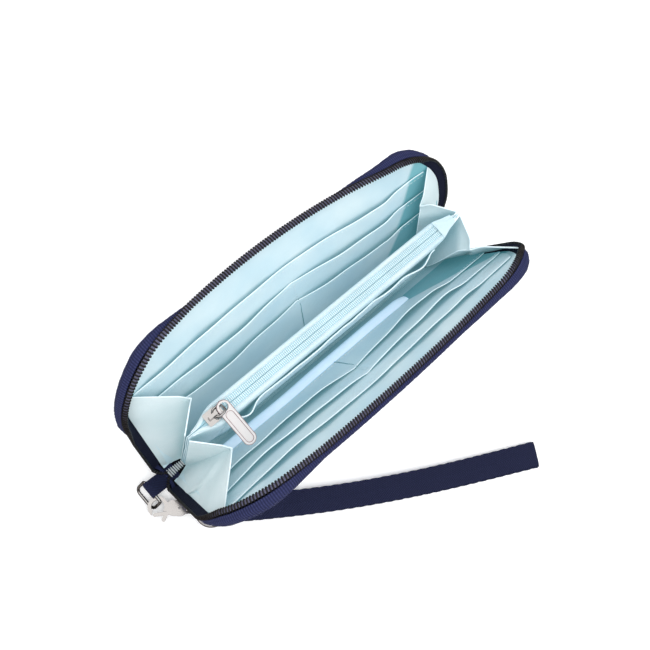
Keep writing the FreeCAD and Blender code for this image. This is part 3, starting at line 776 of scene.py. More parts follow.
TAPE_SHAPES = {
    "hidden": [(-0.2, 0.0), (1.6, -2.6), (2.4, -2.7), (0.8, 0.5), (0.2, 0.5)],
    "narrow": [(0.0, 0.0), (2.9, -2.6), (3.8, -2.6), (1.0, 1.2), (0.3, 1.2)],
    "wide": [(0.0, -0.2), (2.4, -3.8), (3.2, -3.7), (1.6, 1.0), (0.6, 1.2)],
    "medium": [(0.0, -0.1), (2.7, -3.1), (3.5, -3.1), (1.2, 1.1), (0.4, 1.2)],
    "side": [(-0.3, -0.6), (4.0, -1.3), (4.7, -0.9), (1.0, 0.6), (0.0, 0.3)],
}
# The coil's centre, the direction of its flat face and its two half widths.
COIL_SHAPES = {
    "hidden": [(4.4, -3.2), (0.59, 0.81), (1.35, 0.5)],
    "narrow": [(4.7, -3.4), (0.32, 0.95), (1.35, 0.5)],
    "wide": [(4.0, -4.3), (0.46, 0.89), (1.3, 0.5)],
    "medium": [(4.4, -3.8), (0.40, 0.92), (1.35, 0.5)],
    "side": [(4.8, -1.1), (-0.2, 0.98), (0.6, 0.3)],
}
# Where each cross section holds, in millimetres round the edge from the strap end's foot.
EDGE_PLACES = {
    "front": ((0, "side"), (38, "side"), (60, "wide"), (98, "wide"), (128, "hidden"), (212, "hidden"),
              (236, "medium"), (252, "wide"), (264, "wide"), (280, "side"), (358, "side")),
    "back": ((0, "side"), (58, "side"), (80, "wide"), (100, "wide"), (130, "narrow"), (215, "narrow"),
             (245, "medium"), (262, "wide"), (270, "wide"), (282, "side"), (358, "side")),
}


def edge_shape(panel, shapes, run):
    """A cross section at every place round the edge, easing from one named shape to the next."""
    places = EDGE_PLACES[panel.name]
    keys = np.array([shapes[name] for _, name in places], float)
    columns = [np.interp(run, [at for at, _ in places], column) for column in keys.reshape(len(keys), -1).T]
    return np.stack(columns, axis=1).reshape(len(run), *keys.shape[1:])


def edge_tube(panel, name, shapes, material, slot, node, spacing=2.0, wobble=0.0):
    """Sweeps a changing cross section round the panel's edge."""
    stations, run = panel.edge(spacing)
    section = edge_shape(panel, {key: rounded(shape) for key, shape in shapes.items()}, run)
    seeds = 1.3 * np.arange(section.shape[1]) + panel.side
    shake = wobble * ripple(run[:, None], seeds, ((5.5, 1.0), (13, 0.5)))
    u, v, nu, nv = stations.T[..., None]
    out = section[..., 0] + shake
    points = panel.point(u + out * nu, v + out * nv, section[..., 1])
    spans = np.concatenate([[0], np.cumsum(np.hypot(*np.diff(section[0], axis=0).T))])
    uvs = np.stack(np.meshgrid(spans, run)[::-1], axis=2)
    piece = rings(name, points, material, uvs=uvs)
    return own(piece, slot, panel.body, node)


def rounded(points, radius=0.25):
    """Cuts each corner of a closed profile with two points."""
    points = np.asarray(points, float)
    result = []
    for i, here in enumerate(points):
        before, after = points[i - 1], points[(i + 1) % len(points)]
        for other in (before, after):
            gap = np.linalg.norm(other - here)
            result.append(here + (other - here) * min(radius, gap * 0.35) / gap)
    return result


def edge_band(panel):
    name = panel.name
    edge_tube(panel, name + "_band", BAND_SHAPES, BAND, "navy_webbing", name + "_edge_band", 1.1, 0.14)
    stations, run = panel.edge(1.5)
    section = edge_shape(panel, BAND_SHAPES, run)
    for label, corner in (("outer", -1), ("middle", -3)):
        out, n = (section[:, corner] * 0.7 + section[:, corner - 1] * 0.3).T
        path = panel.edge_points(stations, out, n + 0.1)
        stitch_row(f"{name}_band_{label}_stitches", path, panel.body, NAVY_THREAD, -panel.inward(),
                   slot="navy_webbing")


def zip_tape(panel):
    name = panel.name
    edge_tube(panel, name + "_tape", TAPE_SHAPES, ZIP_TAPE, "navy_tape", name + "_zip_tape", 1.6)


def coil_axes(panel, run):
    """The coil's centre, flat direction, thickness direction and half widths round the edge."""
    centre, face, reach = edge_shape(panel, COIL_SHAPES, run).transpose(1, 0, 2)
    face = face / np.linalg.norm(face, axis=1, keepdims=True)
    return centre, face, np.stack([face[:, 1], -face[:, 0]], axis=1), reach


def zip_coil(panel):
    """The coil's helix, round a pale cord that shows between its turns."""
    stations, run = panel.edge(1.0)
    steps_per_turn = 14
    s = np.linspace(0, run[-1], int(run[-1] / COIL_PITCH * steps_per_turn))
    wound = np.stack([np.interp(s, run, column) for column in stations.T], axis=1)
    centre, face, through, reach = coil_axes(panel, s)
    turn = 2 * pi / COIL_PITCH * s[:, None]
    at = centre + face * reach[:, :1] * np.cos(turn) + through * reach[:, 1:] * np.sin(turn)
    helix = cord(panel.name + "_coil", panel.edge_points(wound, *at.T), 0.42, BLACK_COIL, 6)
    own(helix, "black_coil", panel.body, panel.name + "_zip_coil")

    stations, run = panel.edge(1.2)
    centre, face, through, reach = coil_axes(panel, run)
    turns = np.linspace(0, 2 * pi, 10, endpoint=False)[:, None]
    wide = face[:, None] * reach[:, None, :1] * 0.78 * np.cos(turns)
    thin = through[:, None] * 0.2 * np.sin(turns)
    at = centre[:, None] + wide + thin
    u, v, nu, nv = stations.T[..., None]
    points = panel.point(u + at[..., 0] * nu, v + at[..., 0] * nv, at[..., 1])
    own(rings(panel.name + "_coil_cord", points, COIL_CORD), "black_coil", panel.body)


def panel_cover(panel):
    """The outer fabric, carried down and under to the middle of the spine."""
    depth_at_rim, tuck = 2.8, 1.6

    def depth(u, v):
        drawn = tuck * smooth((v - 88) / 12) * smooth((66 - np.abs(u)) / 25)
        wave = 0.25 * ripple(u * 0.8 + v, 4 + panel.side, ((71, 1.0), (37, 0.5)))
        return depth_at_rim - drawn + wave * smooth((99 - v) / 8)

    upper, uv = panel.lay(1.6, 4.0, HEIGHT, depth, 60, 100)
    u = upper[0, :, 0]
    lip = panel.point(u, 4.0, depth(u, 4.0))
    middle = xyz(u, 0.0, 0.5)
    inner, down = middle + [0, 8.0 * panel.side, 0], lip - [0, 0.8 * panel.side, 4.0]
    foot = bezier([middle, inner, down, lip], 10)[:-1]
    points = np.concatenate([foot, upper])
    run = np.linspace(-11, 3.2, 9)[:, None] * np.ones_like(u)[None]
    uvs = np.concatenate([np.stack([np.broadcast_to(u, run.shape), run], axis=2), uv])
    thick = 1.0 - 0.5 * smooth((uvs[:, 0, 1] - 84) / 8)
    piece = sheet(panel.name + "_cover_sheet", points, thick[:, None], COVER, uvs)
    own(piece, "cover_fabric", None, panel.name + "_cover", panel.name + "_board")
    if panel is FRONT:
        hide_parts("spine_cover")
    return hinge_blend(piece)


SLOTS = (("bill_pocket", 82.0, -0.75, 2.6, False), ("upper_card_slots", 69.0, -1.7, 3.2, True),
         ("lower_card_slots", 55.0, -2.6, 3.6, True))

for panel in PANELS:
    panel_lining(panel)
    panel_cover(panel)
    for index, (node, top, base, slack, divided) in enumerate(SLOTS):
        pocket(panel, node, top, base, slack, divided, 1.0 + index + panel.side)
    divider(panel, 67)
    edge_band(panel)
    zip_tape(panel)
    zip_coil(panel)


# --- Coin pocket ---

def pinch(x, width, tip_width=0.8, half=COIN_HALF, tip=COIN_TIP):
    """The pocket's half width along its length, easing to a pinched end."""
    share = smooth((np.abs(x) - half + 4) / (tip - half + 4))
    return width + (tip_width - width) * share


def pocket_side(side):
    """A wall from the spine up to the zip, its hem folded in over the tape."""
    name = "front" if side > 0 else "back"
    levels = np.concatenate([np.linspace(WALL_FOOT, 76, 34), np.linspace(77, WALL_TOP, 5)])
    share = (levels - WALL_FOOT) / (WALL_TOP - WALL_FOOT)
    tips = COIN_TIP + 3.4 * (1 - share)
    across = np.linspace(-1, 1, 110)
    x = tips[:, None] * across[None]
    z = levels[:, None]
    width = pinch(x, 1.2 + (COIN_WIDTH - 1.2) * share[:, None])
    belly = 0.9 * np.sin(pi * share)[:, None] * (1 - np.abs(across)[None] ** 4)
    y = width - 0.3 + belly + 0.35 * ripple(x + z * 0.5, 2.2 + side) * np.sin(pi * share)[:, None]
    wall = xyz(x, side * y, z)
    top_x, top_y = x[-1], y[-1]
    turned_in = ((0.15, 0.9), (0.6, 1.45), (1.3, 1.55), (1.9, 1.4))
    hem = [xyz(top_x, side * np.maximum(top_y - drop, 0.35), WALL_TOP + rise) for drop, rise in turned_in]
    points = np.concatenate([wall, np.stack(hem)])
    piece = sheet(f"coin_pocket_{name}_sheet", points, 0.42, LINING)
    own(piece, "lining_fabric", "core", f"coin_pocket_{name}_wall")
    line = xyz(top_x, side * np.maximum(top_y - 1.45, 0.4), 81.15)
    stitch_row(f"coin_hem_{name}_stitches", line[6:-6], "core", WHITE_THREAD, [0, 0, 1], 2.2, 0.14)


def coin_zip():
    """Tape halves under a coil of fine ribs, closed along the middle."""
    x = np.linspace(-84, 84, 120)
    for side, name in ((1, "front"), (-1, "back")):
        share = np.linspace(0, 1, 9)[:, None]
        y = 0.12 + (pinch(x, 4.9) - 0.12) * share
        z = 80.55 - 0.25 * share + 0.12 * ripple(x, 1.0)
        piece = sheet(f"coin_tape_{name}", xyz(x, side * y, z), 0.4, TAPE)
        own(piece, "coin_tape", "core", f"coin_zip_tape_{name}")
        spots = np.arange(-67.5, 72.5, 0.95) + (0.47 if side < 0 else 0.0)
        lows = [xyz(spots, side * 0.05, 80.95), xyz(spots + 0.1, side * 1.55, 80.92)]
        highs = [xyz(spots + 0.15, side * 1.75, 80.95), xyz(spots + 0.2, side * 2.75, 80.85)]
        lows, highs = np.concatenate(lows), np.concatenate(highs)
        ribs = spindles(f"coin_coil_{name}", lows, highs, 0.29, RIBS, flat=0.9, around=8, along=5)
        own(ribs, "coin_coil", "core", f"coin_zip_coil_{name}")
        for k, y in enumerate((3.05, 3.6)):
            line = xyz(x[8:-8], side * y, 80.72)
            stitch_row(f"coin_tape_{name}_stitches_{k}", line, "core", WHITE_THREAD, [0, 0, 1], 1.3, 0.13,
                       0.85, "coin_tape")


def end_tab():
    """The square of lining sewn over the zip's far end."""
    x = np.linspace(71.5, 82.0, 16)
    rows = []
    for t in np.linspace(-1, 1, 13):
        reach = pinch(x, 5.0, 2.0, 73, 84)
        crown = 0.35 * (1 - abs(t)) - 0.25 * smooth((x - 78) / 4)
        rows.append(xyz(x, reach * t, 81.45 + crown + 0.12 * ripple(x + 9 * t, 3, ((7, 1),))))
    piece = sheet("coin_end_tab_sheet", np.stack(rows), 0.5, LINING)
    own(piece, "lining_fabric", "core", "coin_zip_end_tab")
    for k, at in enumerate((72.3, 73.1)):
        line = xyz(at, np.linspace(-4.2, 4.2, 12), 81.85)
        stitch_row(f"coin_end_tab_stitches_{k}", line, "core", PALE_THREAD, [0, 0, 1], 1.8, 0.16)


def slip_pocket():
    """An open pocket on the back wall, pleated in at both ends, with a rounded foot."""
    x = np.linspace(-1, 1, 100)
    levels = np.concatenate([np.linspace(3.5, 70, 36), np.linspace(71, 75, 6)])
    rows = []
    for z in levels:
        share = (z - 3.5) / 71.5
        reach = 69 - 3.0 * smooth((share - 0.8) / 0.2)
        out = 2.6 + 3.9 * share ** 1.2 + 0.5 * sin(pi * share)
        out = out + 0.6 * share ** 4 * np.clip(ripple(x * 68, 2.0, ((58, 1.0), (23, 0.7))), -0.4, 1)
        pleats = 2.4 * np.exp(-((x * 68 + 59) / 5) ** 2) + 2.2 * np.exp(-((x * 68 - 57) / 7) ** 2)
        out = out + share ** 4 * pleats
        ends = smooth((1 - np.abs(x)) / 0.09)
        base = 1.6 + 4.2 * share
        y = base + (out - base) * ends + 0.3 * ripple(x * 60 + z * 0.3, 5) * share
        rows.append(xyz(x * reach, -y, z))
    points = np.stack(rows)
    thick = 0.34 + 0.25 * smooth((levels - 72.6) / 0.5)
    piece = sheet("coin_slip_pocket_sheet", points, thick[:, None], LINING)
    own(piece, "lining_fabric", "core", "coin_slip_pocket")
    edge = own(cord("coin_slip_pocket_fold", points[-1], 0.34, HEM_HIGHLIGHT), "lining_fabric", "core")
    line = points[-4] - [0, 0.35, 0]
    row = stitch_row("coin_slip_pocket_stitches", line[4:-4], "core", PALE_THREAD, [0, -1, 0], 2.4, 0.13)
    coin_wall = (0, -5.4, 60)
    press((piece, edge, row), coin_wall)


def spine_piece():
    """The thin lining under the coin pocket, along the middle of the spine."""
    x = np.linspace(-98, 98, 60)
    rows = [xyz(x, y, 2.0 + 0.15 * ripple(x, y)) for y in np.linspace(-2.6, 2.6, 7)]
    piece = sheet("spine_lining_sheet", np.stack(rows), 0.35, LINING)
    own(piece, "lining_fabric", "core", "spine_lining")


def inner_fold():
    """A soft roll low on the back card slots, painted pale and glowing as a highlight, with a row of
    stitches beside it.
    """
    sway = 0.9 * ripple(np.linspace(-78, 60, 80), 2.2, ((90, 1.0), (41, 0.5)))
    u = np.linspace(-80, 57, 80)
    fade = smooth((76 - np.abs(u + 11)) / 16)
    rows = []
    for t in np.linspace(0, 1, 11):
        v = 19.0 + 9.0 * t + sway
        rows.append(BACK.point(u, v, -2.75 - 3.4 * sin(pi * t) ** 0.8 * fade))
    roll = sheet("back_inner_fold", np.stack(rows), 0.3, FOLD_HIGHLIGHT)
    own(roll, "lining_fabric", BACK.body)
    line = BACK.point(u, 31.2 + sway, -2.95)
    row = stitch_row("back_inner_fold_stitches", line, BACK.body, WHITE_THREAD, BACK.inward(), 2.4)
    press_on_panel(BACK, roll, row)


for side in (1, -1):
    pocket_side(side)
inner_fold()
coin_zip()
end_tab()
slip_pocket()
spine_piece()


# --- Gussets ---

def gusset_section(panel, end, z):
    """A gusset's plan outline at one height: from the panel to the fold and back to the core."""
    share = (z - GUSSET_FOOT) / (GUSSET_TOP - GUSSET_FOOT)
    lean = radians(panel.lean)
    v = (z - HINGE_Z) / cos(lean) + (3.5 if panel is FRONT else 0.0) * share ** 3
    over = max(0.0, v - HEIGHT + CORNER) / CORNER
    width = LENGTH / 2 - CORNER * (1 - sqrt_safe(1 - over ** 2))
    spread = share ** 4 if panel is BACK and end > 0 else 0.0
    on_panel = panel.point(end * (width - 0.4 + 3.0 * spread), v, -0.9 - 0.7 * spread)
    core = np.array([end * (90.0 - 3.2 * share), panel.side * 1.5, z])
    eased = share ** 0.72
    reach, depth = panel.fold[end > 0]
    fold = np.array([end * (89.8 + (reach - 89.8) * eased), panel.side * (2.4 + (depth - 2.4) * eased), z])
    if end > 0:
        fold = fold + (on_panel - fold) * 0.17 * smooth((share - 0.84) / 0.16) ** 2
    return on_panel, fold, core


def leaf_curve(a, b, sag, count):
    """From a to b with a soft belly of the given depth."""
    t = np.linspace(0, 1, count)[:, None]
    along = b - a
    normal = np.array([along[1], -along[0], 0.0])
    normal /= max(np.linalg.norm(normal), 1e-6)
    return a + along * t + normal * sag * np.sin(pi * t)


def gusset(panel, end):
    """The outer and inner leaf at one end of one panel, with hems, stitches and the folded edge."""
    label = "far" if end > 0 else "near"
    levels = np.linspace(GUSSET_FOOT, GUSSET_TOP, 46)
    rows = []
    for z in levels:
        share = (z - GUSSET_FOOT) / (GUSSET_TOP - GUSSET_FOOT)
        a, fold, c = gusset_section(panel, end, z)
        sag = 1.3 * sin(pi * share) * end * panel.side
        outer = leaf_curve(a, fold, -sag, 22)
        inner = leaf_curve(fold, c, sag * 0.4, 14)
        outer[:, 2] -= FOLD_DROOP * smooth(np.linspace(-2.2, 1, 22)) ** 2 * share ** 6
        inner[:, 2] -= FOLD_DROOP * smooth(np.linspace(1, -1.8, 14)) ** 2 * share ** 6
        rows.append((outer, inner))
    outer, inner = [np.stack(part) for part in zip(*rows)]
    if panel is BACK:
        outer = crease(outer, end)
    name = f"{panel.name}_{label}_gusset"
    hem = 0.34 + 0.3 * smooth((levels - (GUSSET_TOP - 2.6)) / 0.5)
    for part, points in (("outer", outer), ("inner", inner)):
        body = f"{panel.name}_{label}_{part}_leaf"
        piece = sheet(f"{name}_{part}_sheet", points, hem[:, None], GUSSET_SHADED)
        trim = cord(f"{name}_{part}_top_fold", points[-1], 0.3, HEM_HIGHLIGHT)
        sewn = part == "outer"
        own(piece, "lining_fabric", None if sewn else body, f"{name}_{part}_leaf")
        own(trim, "lining_fabric", None if sewn else body)
        if sewn:
            leaf_blend(piece, points[:, 0], points[:, -1])
            leaf_blend(trim, points[:, 0], points[:, -1])
        across = points[-1, -1] - points[-1, 0]
        lift = np.array([-across[1], across[0], 0.0]) * end * panel.side
        line = points[-3] + lift / np.linalg.norm(lift) * 0.35 - [0, 0, 0.6]
        stitch_row(f"{name}_{part}_stitches", line, body, PALE_THREAD, lift, 2.3, 0.14)
    edge = cord(f"{name}_fold_edge", outer[:, -1], 0.28, HEM_HIGHLIGHT)
    own(edge, "lining_fabric", f"{panel.name}_{label}_outer_leaf")


def leaf_blend(cloth, seam, fold):
    """Bakes the placement of cloth sewn to a panel's edge into its mesh."""
    line = (seam[-1] - seam[0]) / np.linalg.norm(seam[-1] - seam[0])
    across = fold[-1] - seam[-1]
    across = across - line * (across @ line)
    across /= np.linalg.norm(across)
    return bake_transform(cloth)


def crease(points, end):
    """The curved fold across a gusset whose fabric has slumped."""
    rows, columns = points.shape[:2]
    t = np.linspace(0, 1, columns)[None]
    s = np.linspace(0, 1, rows)[:, None]
    line = 0.30 + 0.45 * (1 - (1 - t) ** 2)
    near = s - line
    groove = 2.0 * np.exp(-(near / 0.045) ** 2)
    ridge = 1.5 * np.exp(-((near - 0.12) / 0.08) ** 2)
    strength = smooth((1 - t) / 0.3) * smooth(t / 0.15 + 0.2)
    return points + np.array([end, 0, 0]) * ((groove - ridge) * strength)[..., None]


for panel in PANELS:
    for end in (-1, 1):
        gusset(panel, end)


# --- Ends of the main zip ---

def zip_end(end):
    """Black tapes closing over the spine, with the joined coil on top."""
    label = "far" if end > 0 else "near"
    x = np.linspace(90.0, 104.0, 14) * end
    t = np.linspace(-1, 1, 25)[:, None]
    rise = 5.2 * np.abs(t) ** 3.2 + 0.15 * ((np.abs(x) - 90) / 12) ** 2
    tape = sheet(f"main_zip_{label}_tape_end", xyz(x, 10.2 * t, 2.05 + rise), 0.5, CHAIN_TAPE)
    own(tape, "navy_tape", "core")
    spots = np.arange(90.3, 99.8, 1.25)
    reach = 1.9 + 0.9 * (spots - 90.3) / 9.5
    starts, ends = xyz(spots * end, -reach, 3.0), xyz((spots + 0.25) * end, reach, 3.0)
    # The near end's coil has a painted highlight; the far end's stays black.
    teeth_colour = CHAIN_COIL if end < 0 else BLACK_COIL
    teeth = spindles(f"main_zip_{label}_teeth", starts, ends, 0.47, teeth_colour, around=8, along=6)
    own(teeth, "black_coil", "core", f"main_zip_{label}_chain")


def band_foot(panel, end):
    """The edge band and coil carried on from a panel's foot down to the spine."""
    label = "far" if end > 0 else "near"
    columns = []
    for out, n in rounded(BAND_SHAPES["side"]):
        u = end * (LENGTH / 2 + out)
        top = panel.point(u, EDGE_FOOT, n)
        above = panel.point(u, EDGE_FOOT + 3, n)
        depth = (n - 4.5) * 0.55
        bottom = np.array([end * (LENGTH / 2 + out * 0.45 - 0.5), 0.0, 0.75 - depth])
        columns.append(bezier([top, top + (top - above), bottom + [0, panel.side * 7.5, 0], bottom], 14))
    points = np.stack(columns, axis=1)
    piece = rings(f"{panel.name}_{label}_band_foot", points, BAND)
    own(piece, "navy_webbing", None)
    hinge_blend(piece)
    out, n = COIL_SHAPES["side"][0]
    centre = panel.point(end * (LENGTH / 2 + out), EDGE_FOOT, n)
    above = panel.point(end * (LENGTH / 2 + out), EDGE_FOOT + 3, n)
    join = np.array([end * 99.6, panel.side * 1.0, 3.2])
    leave, arrive = centre + (centre - above) * 1.2, join + [end * 3.5, panel.side * 1.5, 0.3]
    step = 0.12
    path = resample(bezier([centre, leave, arrive, join], 14), spacing=step)
    turn = np.arange(len(path)) * step / COIL_PITCH * 2 * pi
    ahead = np.gradient(path, axis=0)
    ahead /= np.linalg.norm(ahead, axis=1, keepdims=True)
    side_dir = np.cross(ahead, [0, 0, 1.0])
    side_dir /= np.linalg.norm(side_dir, axis=1, keepdims=True)
    up = np.cross(side_dir, ahead)
    wound = path + side_dir * np.cos(turn)[:, None] * 0.6 + up * np.sin(turn)[:, None] * 0.5
    coil = cord(f"{panel.name}_{label}_coil_foot", wound, 0.36, BLACK_COIL, 6)
    own(coil, "black_coil", None)
    hinge_blend(coil)


for end in (-1, 1):
    zip_end(end)
    for panel in PANELS:
        band_foot(panel, end)


# --- Strap, tab and hardware ---

def joint_place(name):
    """A joint's position in millimetres, from the frame."""
    found = [j for j in frame["joints"] if j["name"] == name][0]
    return np.array(found["pos_m"]) / MM


def loop_sheet(name, path, width_axis, half, thick, material, scallop=0.0):
    """Webbing along a path, its long edges gently scalloped."""
    path = np.asarray(path, float)
    run = np.concatenate([[0], np.cumsum(np.linalg.norm(np.diff(path, axis=0), axis=1))])
    across = np.linspace(-1, 1, 13)
    wave = scallop * np.abs(np.sin(pi * run / 5.5))
    reach = half + wave[:, None] * (np.abs(across)[None] > 0.99)
    points = path[:, None] + (across[None] * reach)[..., None] * np.asarray(width_axis)[None, None]
    uvs = np.stack(np.meshgrid(across * half, run)[::-1], axis=2)
    uvs[..., 1] += half
    thickness = np.broadcast_to(thick * (1 - 0.45 * np.abs(across) ** 8)[None], reach.shape)
    return sheet(name, points, thickness, material, uvs)


STRAP_HEADING = -31.5


def wrist_strap():
    """The folded loop of webbing: two layers lying together, with a box of stitches at the clasp's eye."""
    eye = joint_place("wrist_strap_swing")
    heading = radians(STRAP_HEADING)
    along = np.array([cos(heading), sin(heading), 0])
    across = np.array([-sin(heading), cos(heading), 0])
    bow = 5.0
    length = 184.6
    t = np.linspace(0, 1, 150)
    start, near = 3.6, 1.62
    x = start + (length - start) * t
    droop = 1.45 - eye[2]
    upper = droop * t + near * (1 - t) ** 1.5 + 0.55 * t + 0.5 * np.sin(pi * t) ** 2
    lower = droop * t - near * (1 - t) ** 1.5 - 0.62 * t
    turn = np.linspace(pi / 2, -pi / 2, 9)[1:-1]
    end_r, start_r = (upper[-1] - lower[-1]) / 2, near
    tip_z = (upper[-1] + lower[-1]) / 2
    tip = np.stack([length + end_r * np.cos(turn), tip_z + end_r * np.sin(turn)], axis=1)
    back = np.stack([start - start_r * np.cos(turn), start_r * np.sin(turn)], axis=1)[::-1]
    line = np.concatenate([np.stack([x, upper], axis=1), tip, np.stack([x, lower], axis=1)[::-1], back,
                           [[start, upper[0]]]])
    round_tip, round_eye = np.linspace(0, 1, len(tip)), np.zeros(len(back) + 1)
    below = np.concatenate([np.zeros(len(x)), round_tip, t[::-1] ** 2, round_eye])
    bend = bow * np.sin(pi * np.clip(line[:, :1] / length, 0, 1) ** 0.9) + 1.3 * below[:, None]
    path = eye + line[:, :1] * along - across * bend + np.array([0, 0, 1.0]) * line[:, 1:]
    piece = loop_sheet("wrist_strap_webbing", path, across, 6.55, 1.05, STRAP, 0.35)
    own(piece, "navy_webbing", "wrist_strap", "wrist_strap")
    box_line = []
    near_left, near_right, far_right, far_left = (12, -4.4), (12, 4.4), (26, 4.4), (26, -4.4)
    crossed_box = (near_left, near_right, far_right, far_left, near_left, far_right, far_left, near_right)
    for dx, dy in crossed_box:
        height = eye[2] + np.interp(dx, x, upper) + 0.6
        spot = eye + along * dx + across * (dy - bow * sin(pi * (dx / length) ** 0.9))
        box_line.append([spot[0], spot[1], height])
    box_line = resample(box_line, spacing=0.8)
    stitch_row("wrist_strap_stitches", box_line, "wrist_strap", NAVY_THREAD, [0, 0, 1], 2.2, 0.22,
               slot="navy_webbing")


def strap_tab():
    """The webbing tab that leaves the end of the spine and folds round the ring's straight bar."""
    low, high = [np.array(c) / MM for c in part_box("strap_tab")]
    bar = joint_place("strap_ring_swing")
    middle_y = (low[1] + high[1]) / 2
    half = (high[1] - low[1]) / 2 + 0.3
    base = np.array([-101.4, 1.35])
    fold = np.array([bar[0], bar[2]])
    slope = atan2(base[1] - fold[1], base[0] - fold[0])
    normal = np.array([-sin(slope), cos(slope)])
    radius, thick = 1.5, 0.9
    tail = base + np.array([5.5, 0.6])
    turn = np.linspace(0, pi, 17)
    inward = np.array([cos(slope), sin(slope)])
    arc = [fold + radius * (normal * cos(t) - inward * sin(t)) for t in turn]
    over = (base + normal * 0.62 + fold + normal * radius) / 2
    under = (base - normal * 0.55 + fold - normal * radius) / 2
    top = [tail + [0.6, 0.8], base + normal * 0.75 + [1.0, 0.1], over]
    bottom = [under, base - normal * 0.55 + [0.5, 0.0], tail - [0, 0.7]]
    line = np.array(top + arc + bottom)
    line = resample(np.stack([line[:, 0], np.zeros(len(line)), line[:, 1]], axis=1), 60)
    path = line + [0, middle_y, 0]
    piece = loop_sheet("strap_tab_webbing", path, [0, 1.0, 0], half, thick, STRAP)
    own(piece, "navy_webbing", "core", "strap_tab")


wrist_strap()
strap_tab()

HARDWARE = ("coin_slider", "coin_pull_link", "zip_slider", "zip_pull", "strap_ring", "clasp_hook",
            "clasp_gate", "clasp_rivet", "clasp_eye")
for node in HARDWARE + ("coin_pull_plate",):
    part = frame["nodes"][node]
    part.data.materials.clear()
    part.data.materials.append(PULL_METAL if node == "coin_pull_plate" else METAL)
    edges = part.modifiers.new("rounded edges", "BEVEL")
    edges.width = 0.16 * MM
    edges.segments = 2
    edges.angle_limit = radians(40)
    edges.harden_normals = False


def stadium(start, end, radius, count=40):
    """A closed outline with round ends along X."""
    turn = np.linspace(pi / 2, 3 * pi / 2, count)
    left = np.stack([start + radius * np.cos(turn), radius * np.sin(turn)], axis=1)
    right = np.stack([end - radius * np.cos(turn), -radius * np.sin(turn)], axis=1)
    return np.concatenate([left, right, left[:1]])


def pull_grooves():
    """Fine dark lines of painted shadow where the pull plate's raised rim meets its sunk field, and round
    its outside.
    """
    droop, heading = radians(25.0), radians(-87.0)
    pivot = joint_place("coin_pull_turn")
    field, rim = stadium(4.8, 19.1, 2.0), stadium(0, 19.1, 3.17)
    for label, line, height, radius in (("field", field, 0.42, 0.17), ("rim", rim, 0.5, 0.15)):
        x = line[:, 0] * cos(heading) - line[:, 1] * sin(heading)
        y = line[:, 0] * sin(heading) + line[:, 1] * cos(heading)
        points = xyz(x, y * cos(droop) - height * sin(droop), y * sin(droop) + height * cos(droop)) + pivot
        own(cord(f"coin_pull_{label}_line", points, radius, GROOVE_SHADOW, 6), "silver_hardware", "coin_pull")


pull_grooves()


# --- Floor, light and camera ---

def plain_floor():
    """A pale square, given in metres, just below the wallet."""
    mesh = bpy.data.meshes.new("floor")
    size = 3.0
    corners = [(-size, -size, 0), (size, -size, 0), (size, size, 0), (-size, size, 0)]
    mesh.from_pydata(corners, [], [(0, 1, 2, 3)])
    mesh.materials.append(floor_paint("floor paint"))
    floor = bpy.data.objects.new("floor", mesh)
    bpy.context.scene.collection.objects.link(floor)
    floor.location.z = -0.0004


def soft_light(name, place, target, size, power, colour=(1, 1, 1)):
    """A round area light, placed in metres and hidden from reflections."""
    data = bpy.data.lights.new(name, "AREA")
    data.shape = "DISK"
    data.size = size
    data.energy = power
    data.color = colour
    light = bpy.data.objects.new(name, data)
    bpy.context.scene.collection.objects.link(light)
    light.location = place
    light.visible_glossy = False
    light.rotation_euler = (Vector(target) - Vector(place)).to_track_quat("-Z", "Y").to_euler()


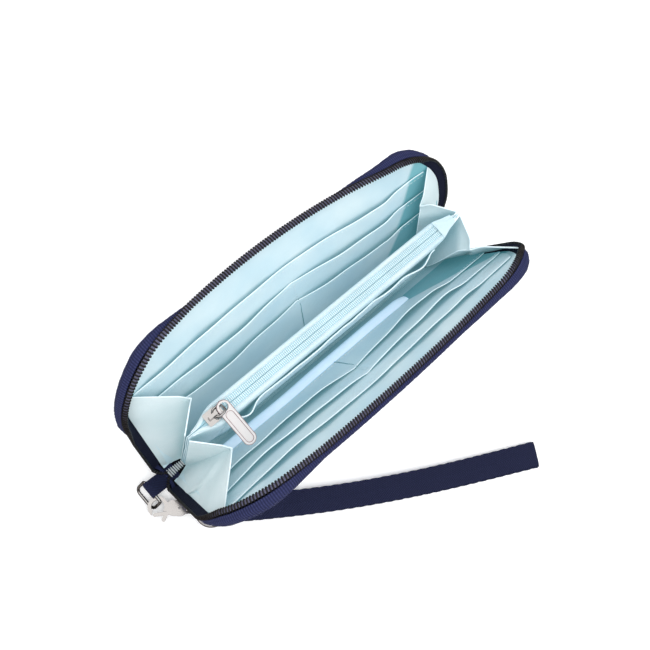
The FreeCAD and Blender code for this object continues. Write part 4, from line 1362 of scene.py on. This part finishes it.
def room_light(strength):
    """Even, barely cool light; reflections see a bright ceiling over dark walls in its place."""
    world = bpy.data.worlds.new("studio")
    world.use_nodes = True
    nodes, links = world.node_tree.nodes, world.node_tree.links
    background = nodes["Background"]
    place, parts = nodes.new("ShaderNodeTexCoord"), nodes.new("ShaderNodeSeparateXYZ")
    band, path = nodes.new("ShaderNodeValToRGB"), nodes.new("ShaderNodeLightPath")
    mix = nodes.new("ShaderNodeMix")
    for at, value in ((0.3, 0.03), (0.62, 0.25), (0.80, 1.1)):
        element = band.color_ramp.elements.new(at)
        element.color = (value, value * 0.97, value * 0.95, 1)
    band.color_ramp.elements[0].color = (0.03, 0.03, 0.03, 1)
    band.color_ramp.elements[-1].color = (1.1, 1.08, 1.06, 1)
    mix.data_type = "RGBA"
    mix.inputs[6].default_value = (0.97, 0.985, 1.0, 1)
    links.new(place.outputs["Generated"], parts.inputs[0])
    links.new(parts.outputs[2], band.inputs[0])
    links.new(path.outputs["Is Glossy Ray"], mix.inputs[0])
    links.new(band.outputs[0], mix.inputs[7])
    links.new(mix.outputs[2], background.inputs["Color"])
    background.inputs["Strength"].default_value = strength
    bpy.context.scene.world = world


def place_camera(target, azimuth, elevation, roll, distance, shift, lens):
    """Looks at target from the azimuth and elevation, rolled about its line of sight and shifted."""
    a, e, r = radians(azimuth), radians(elevation), radians(roll)
    back = Vector((sin(a) * cos(e), -cos(a) * cos(e), sin(e)))
    level = Vector((cos(a), sin(a), 0))
    upright = back.cross(level)
    right = level * cos(r) + upright * sin(r)
    up = upright * cos(r) - level * sin(r)
    data = bpy.data.cameras.new("camera")
    data.lens = lens
    data.clip_start = 0.01
    camera = bpy.data.objects.new("camera", data)
    bpy.context.scene.collection.objects.link(camera)
    place = (Vector(target) + right * shift[0] + up * shift[1] + back * distance) * MM
    camera.matrix_world = Matrix.Translation(place) @ Matrix((right, up, back)).transposed().to_4x4()
    bpy.context.scene.camera = camera


plain_floor()
room_light(0.80)
soft_light("key", (-0.25, -0.35, 1.7), (0, 0, 0.03), 1.4, 14)
soft_light("fill", (0.5, -1.1, 0.9), (0, 0, 0.03), 1.2, 5)
soft_light("rim", (0.7, 1.1, 0.8), (0, 0, 0.03), 0.9, 3)
place_camera((0, 0, 45), -71.0, 71.9, 30.4, 413.5, (2.34, 6.33), 44.65)
bpy.context.scene.view_settings.view_transform = "Standard"
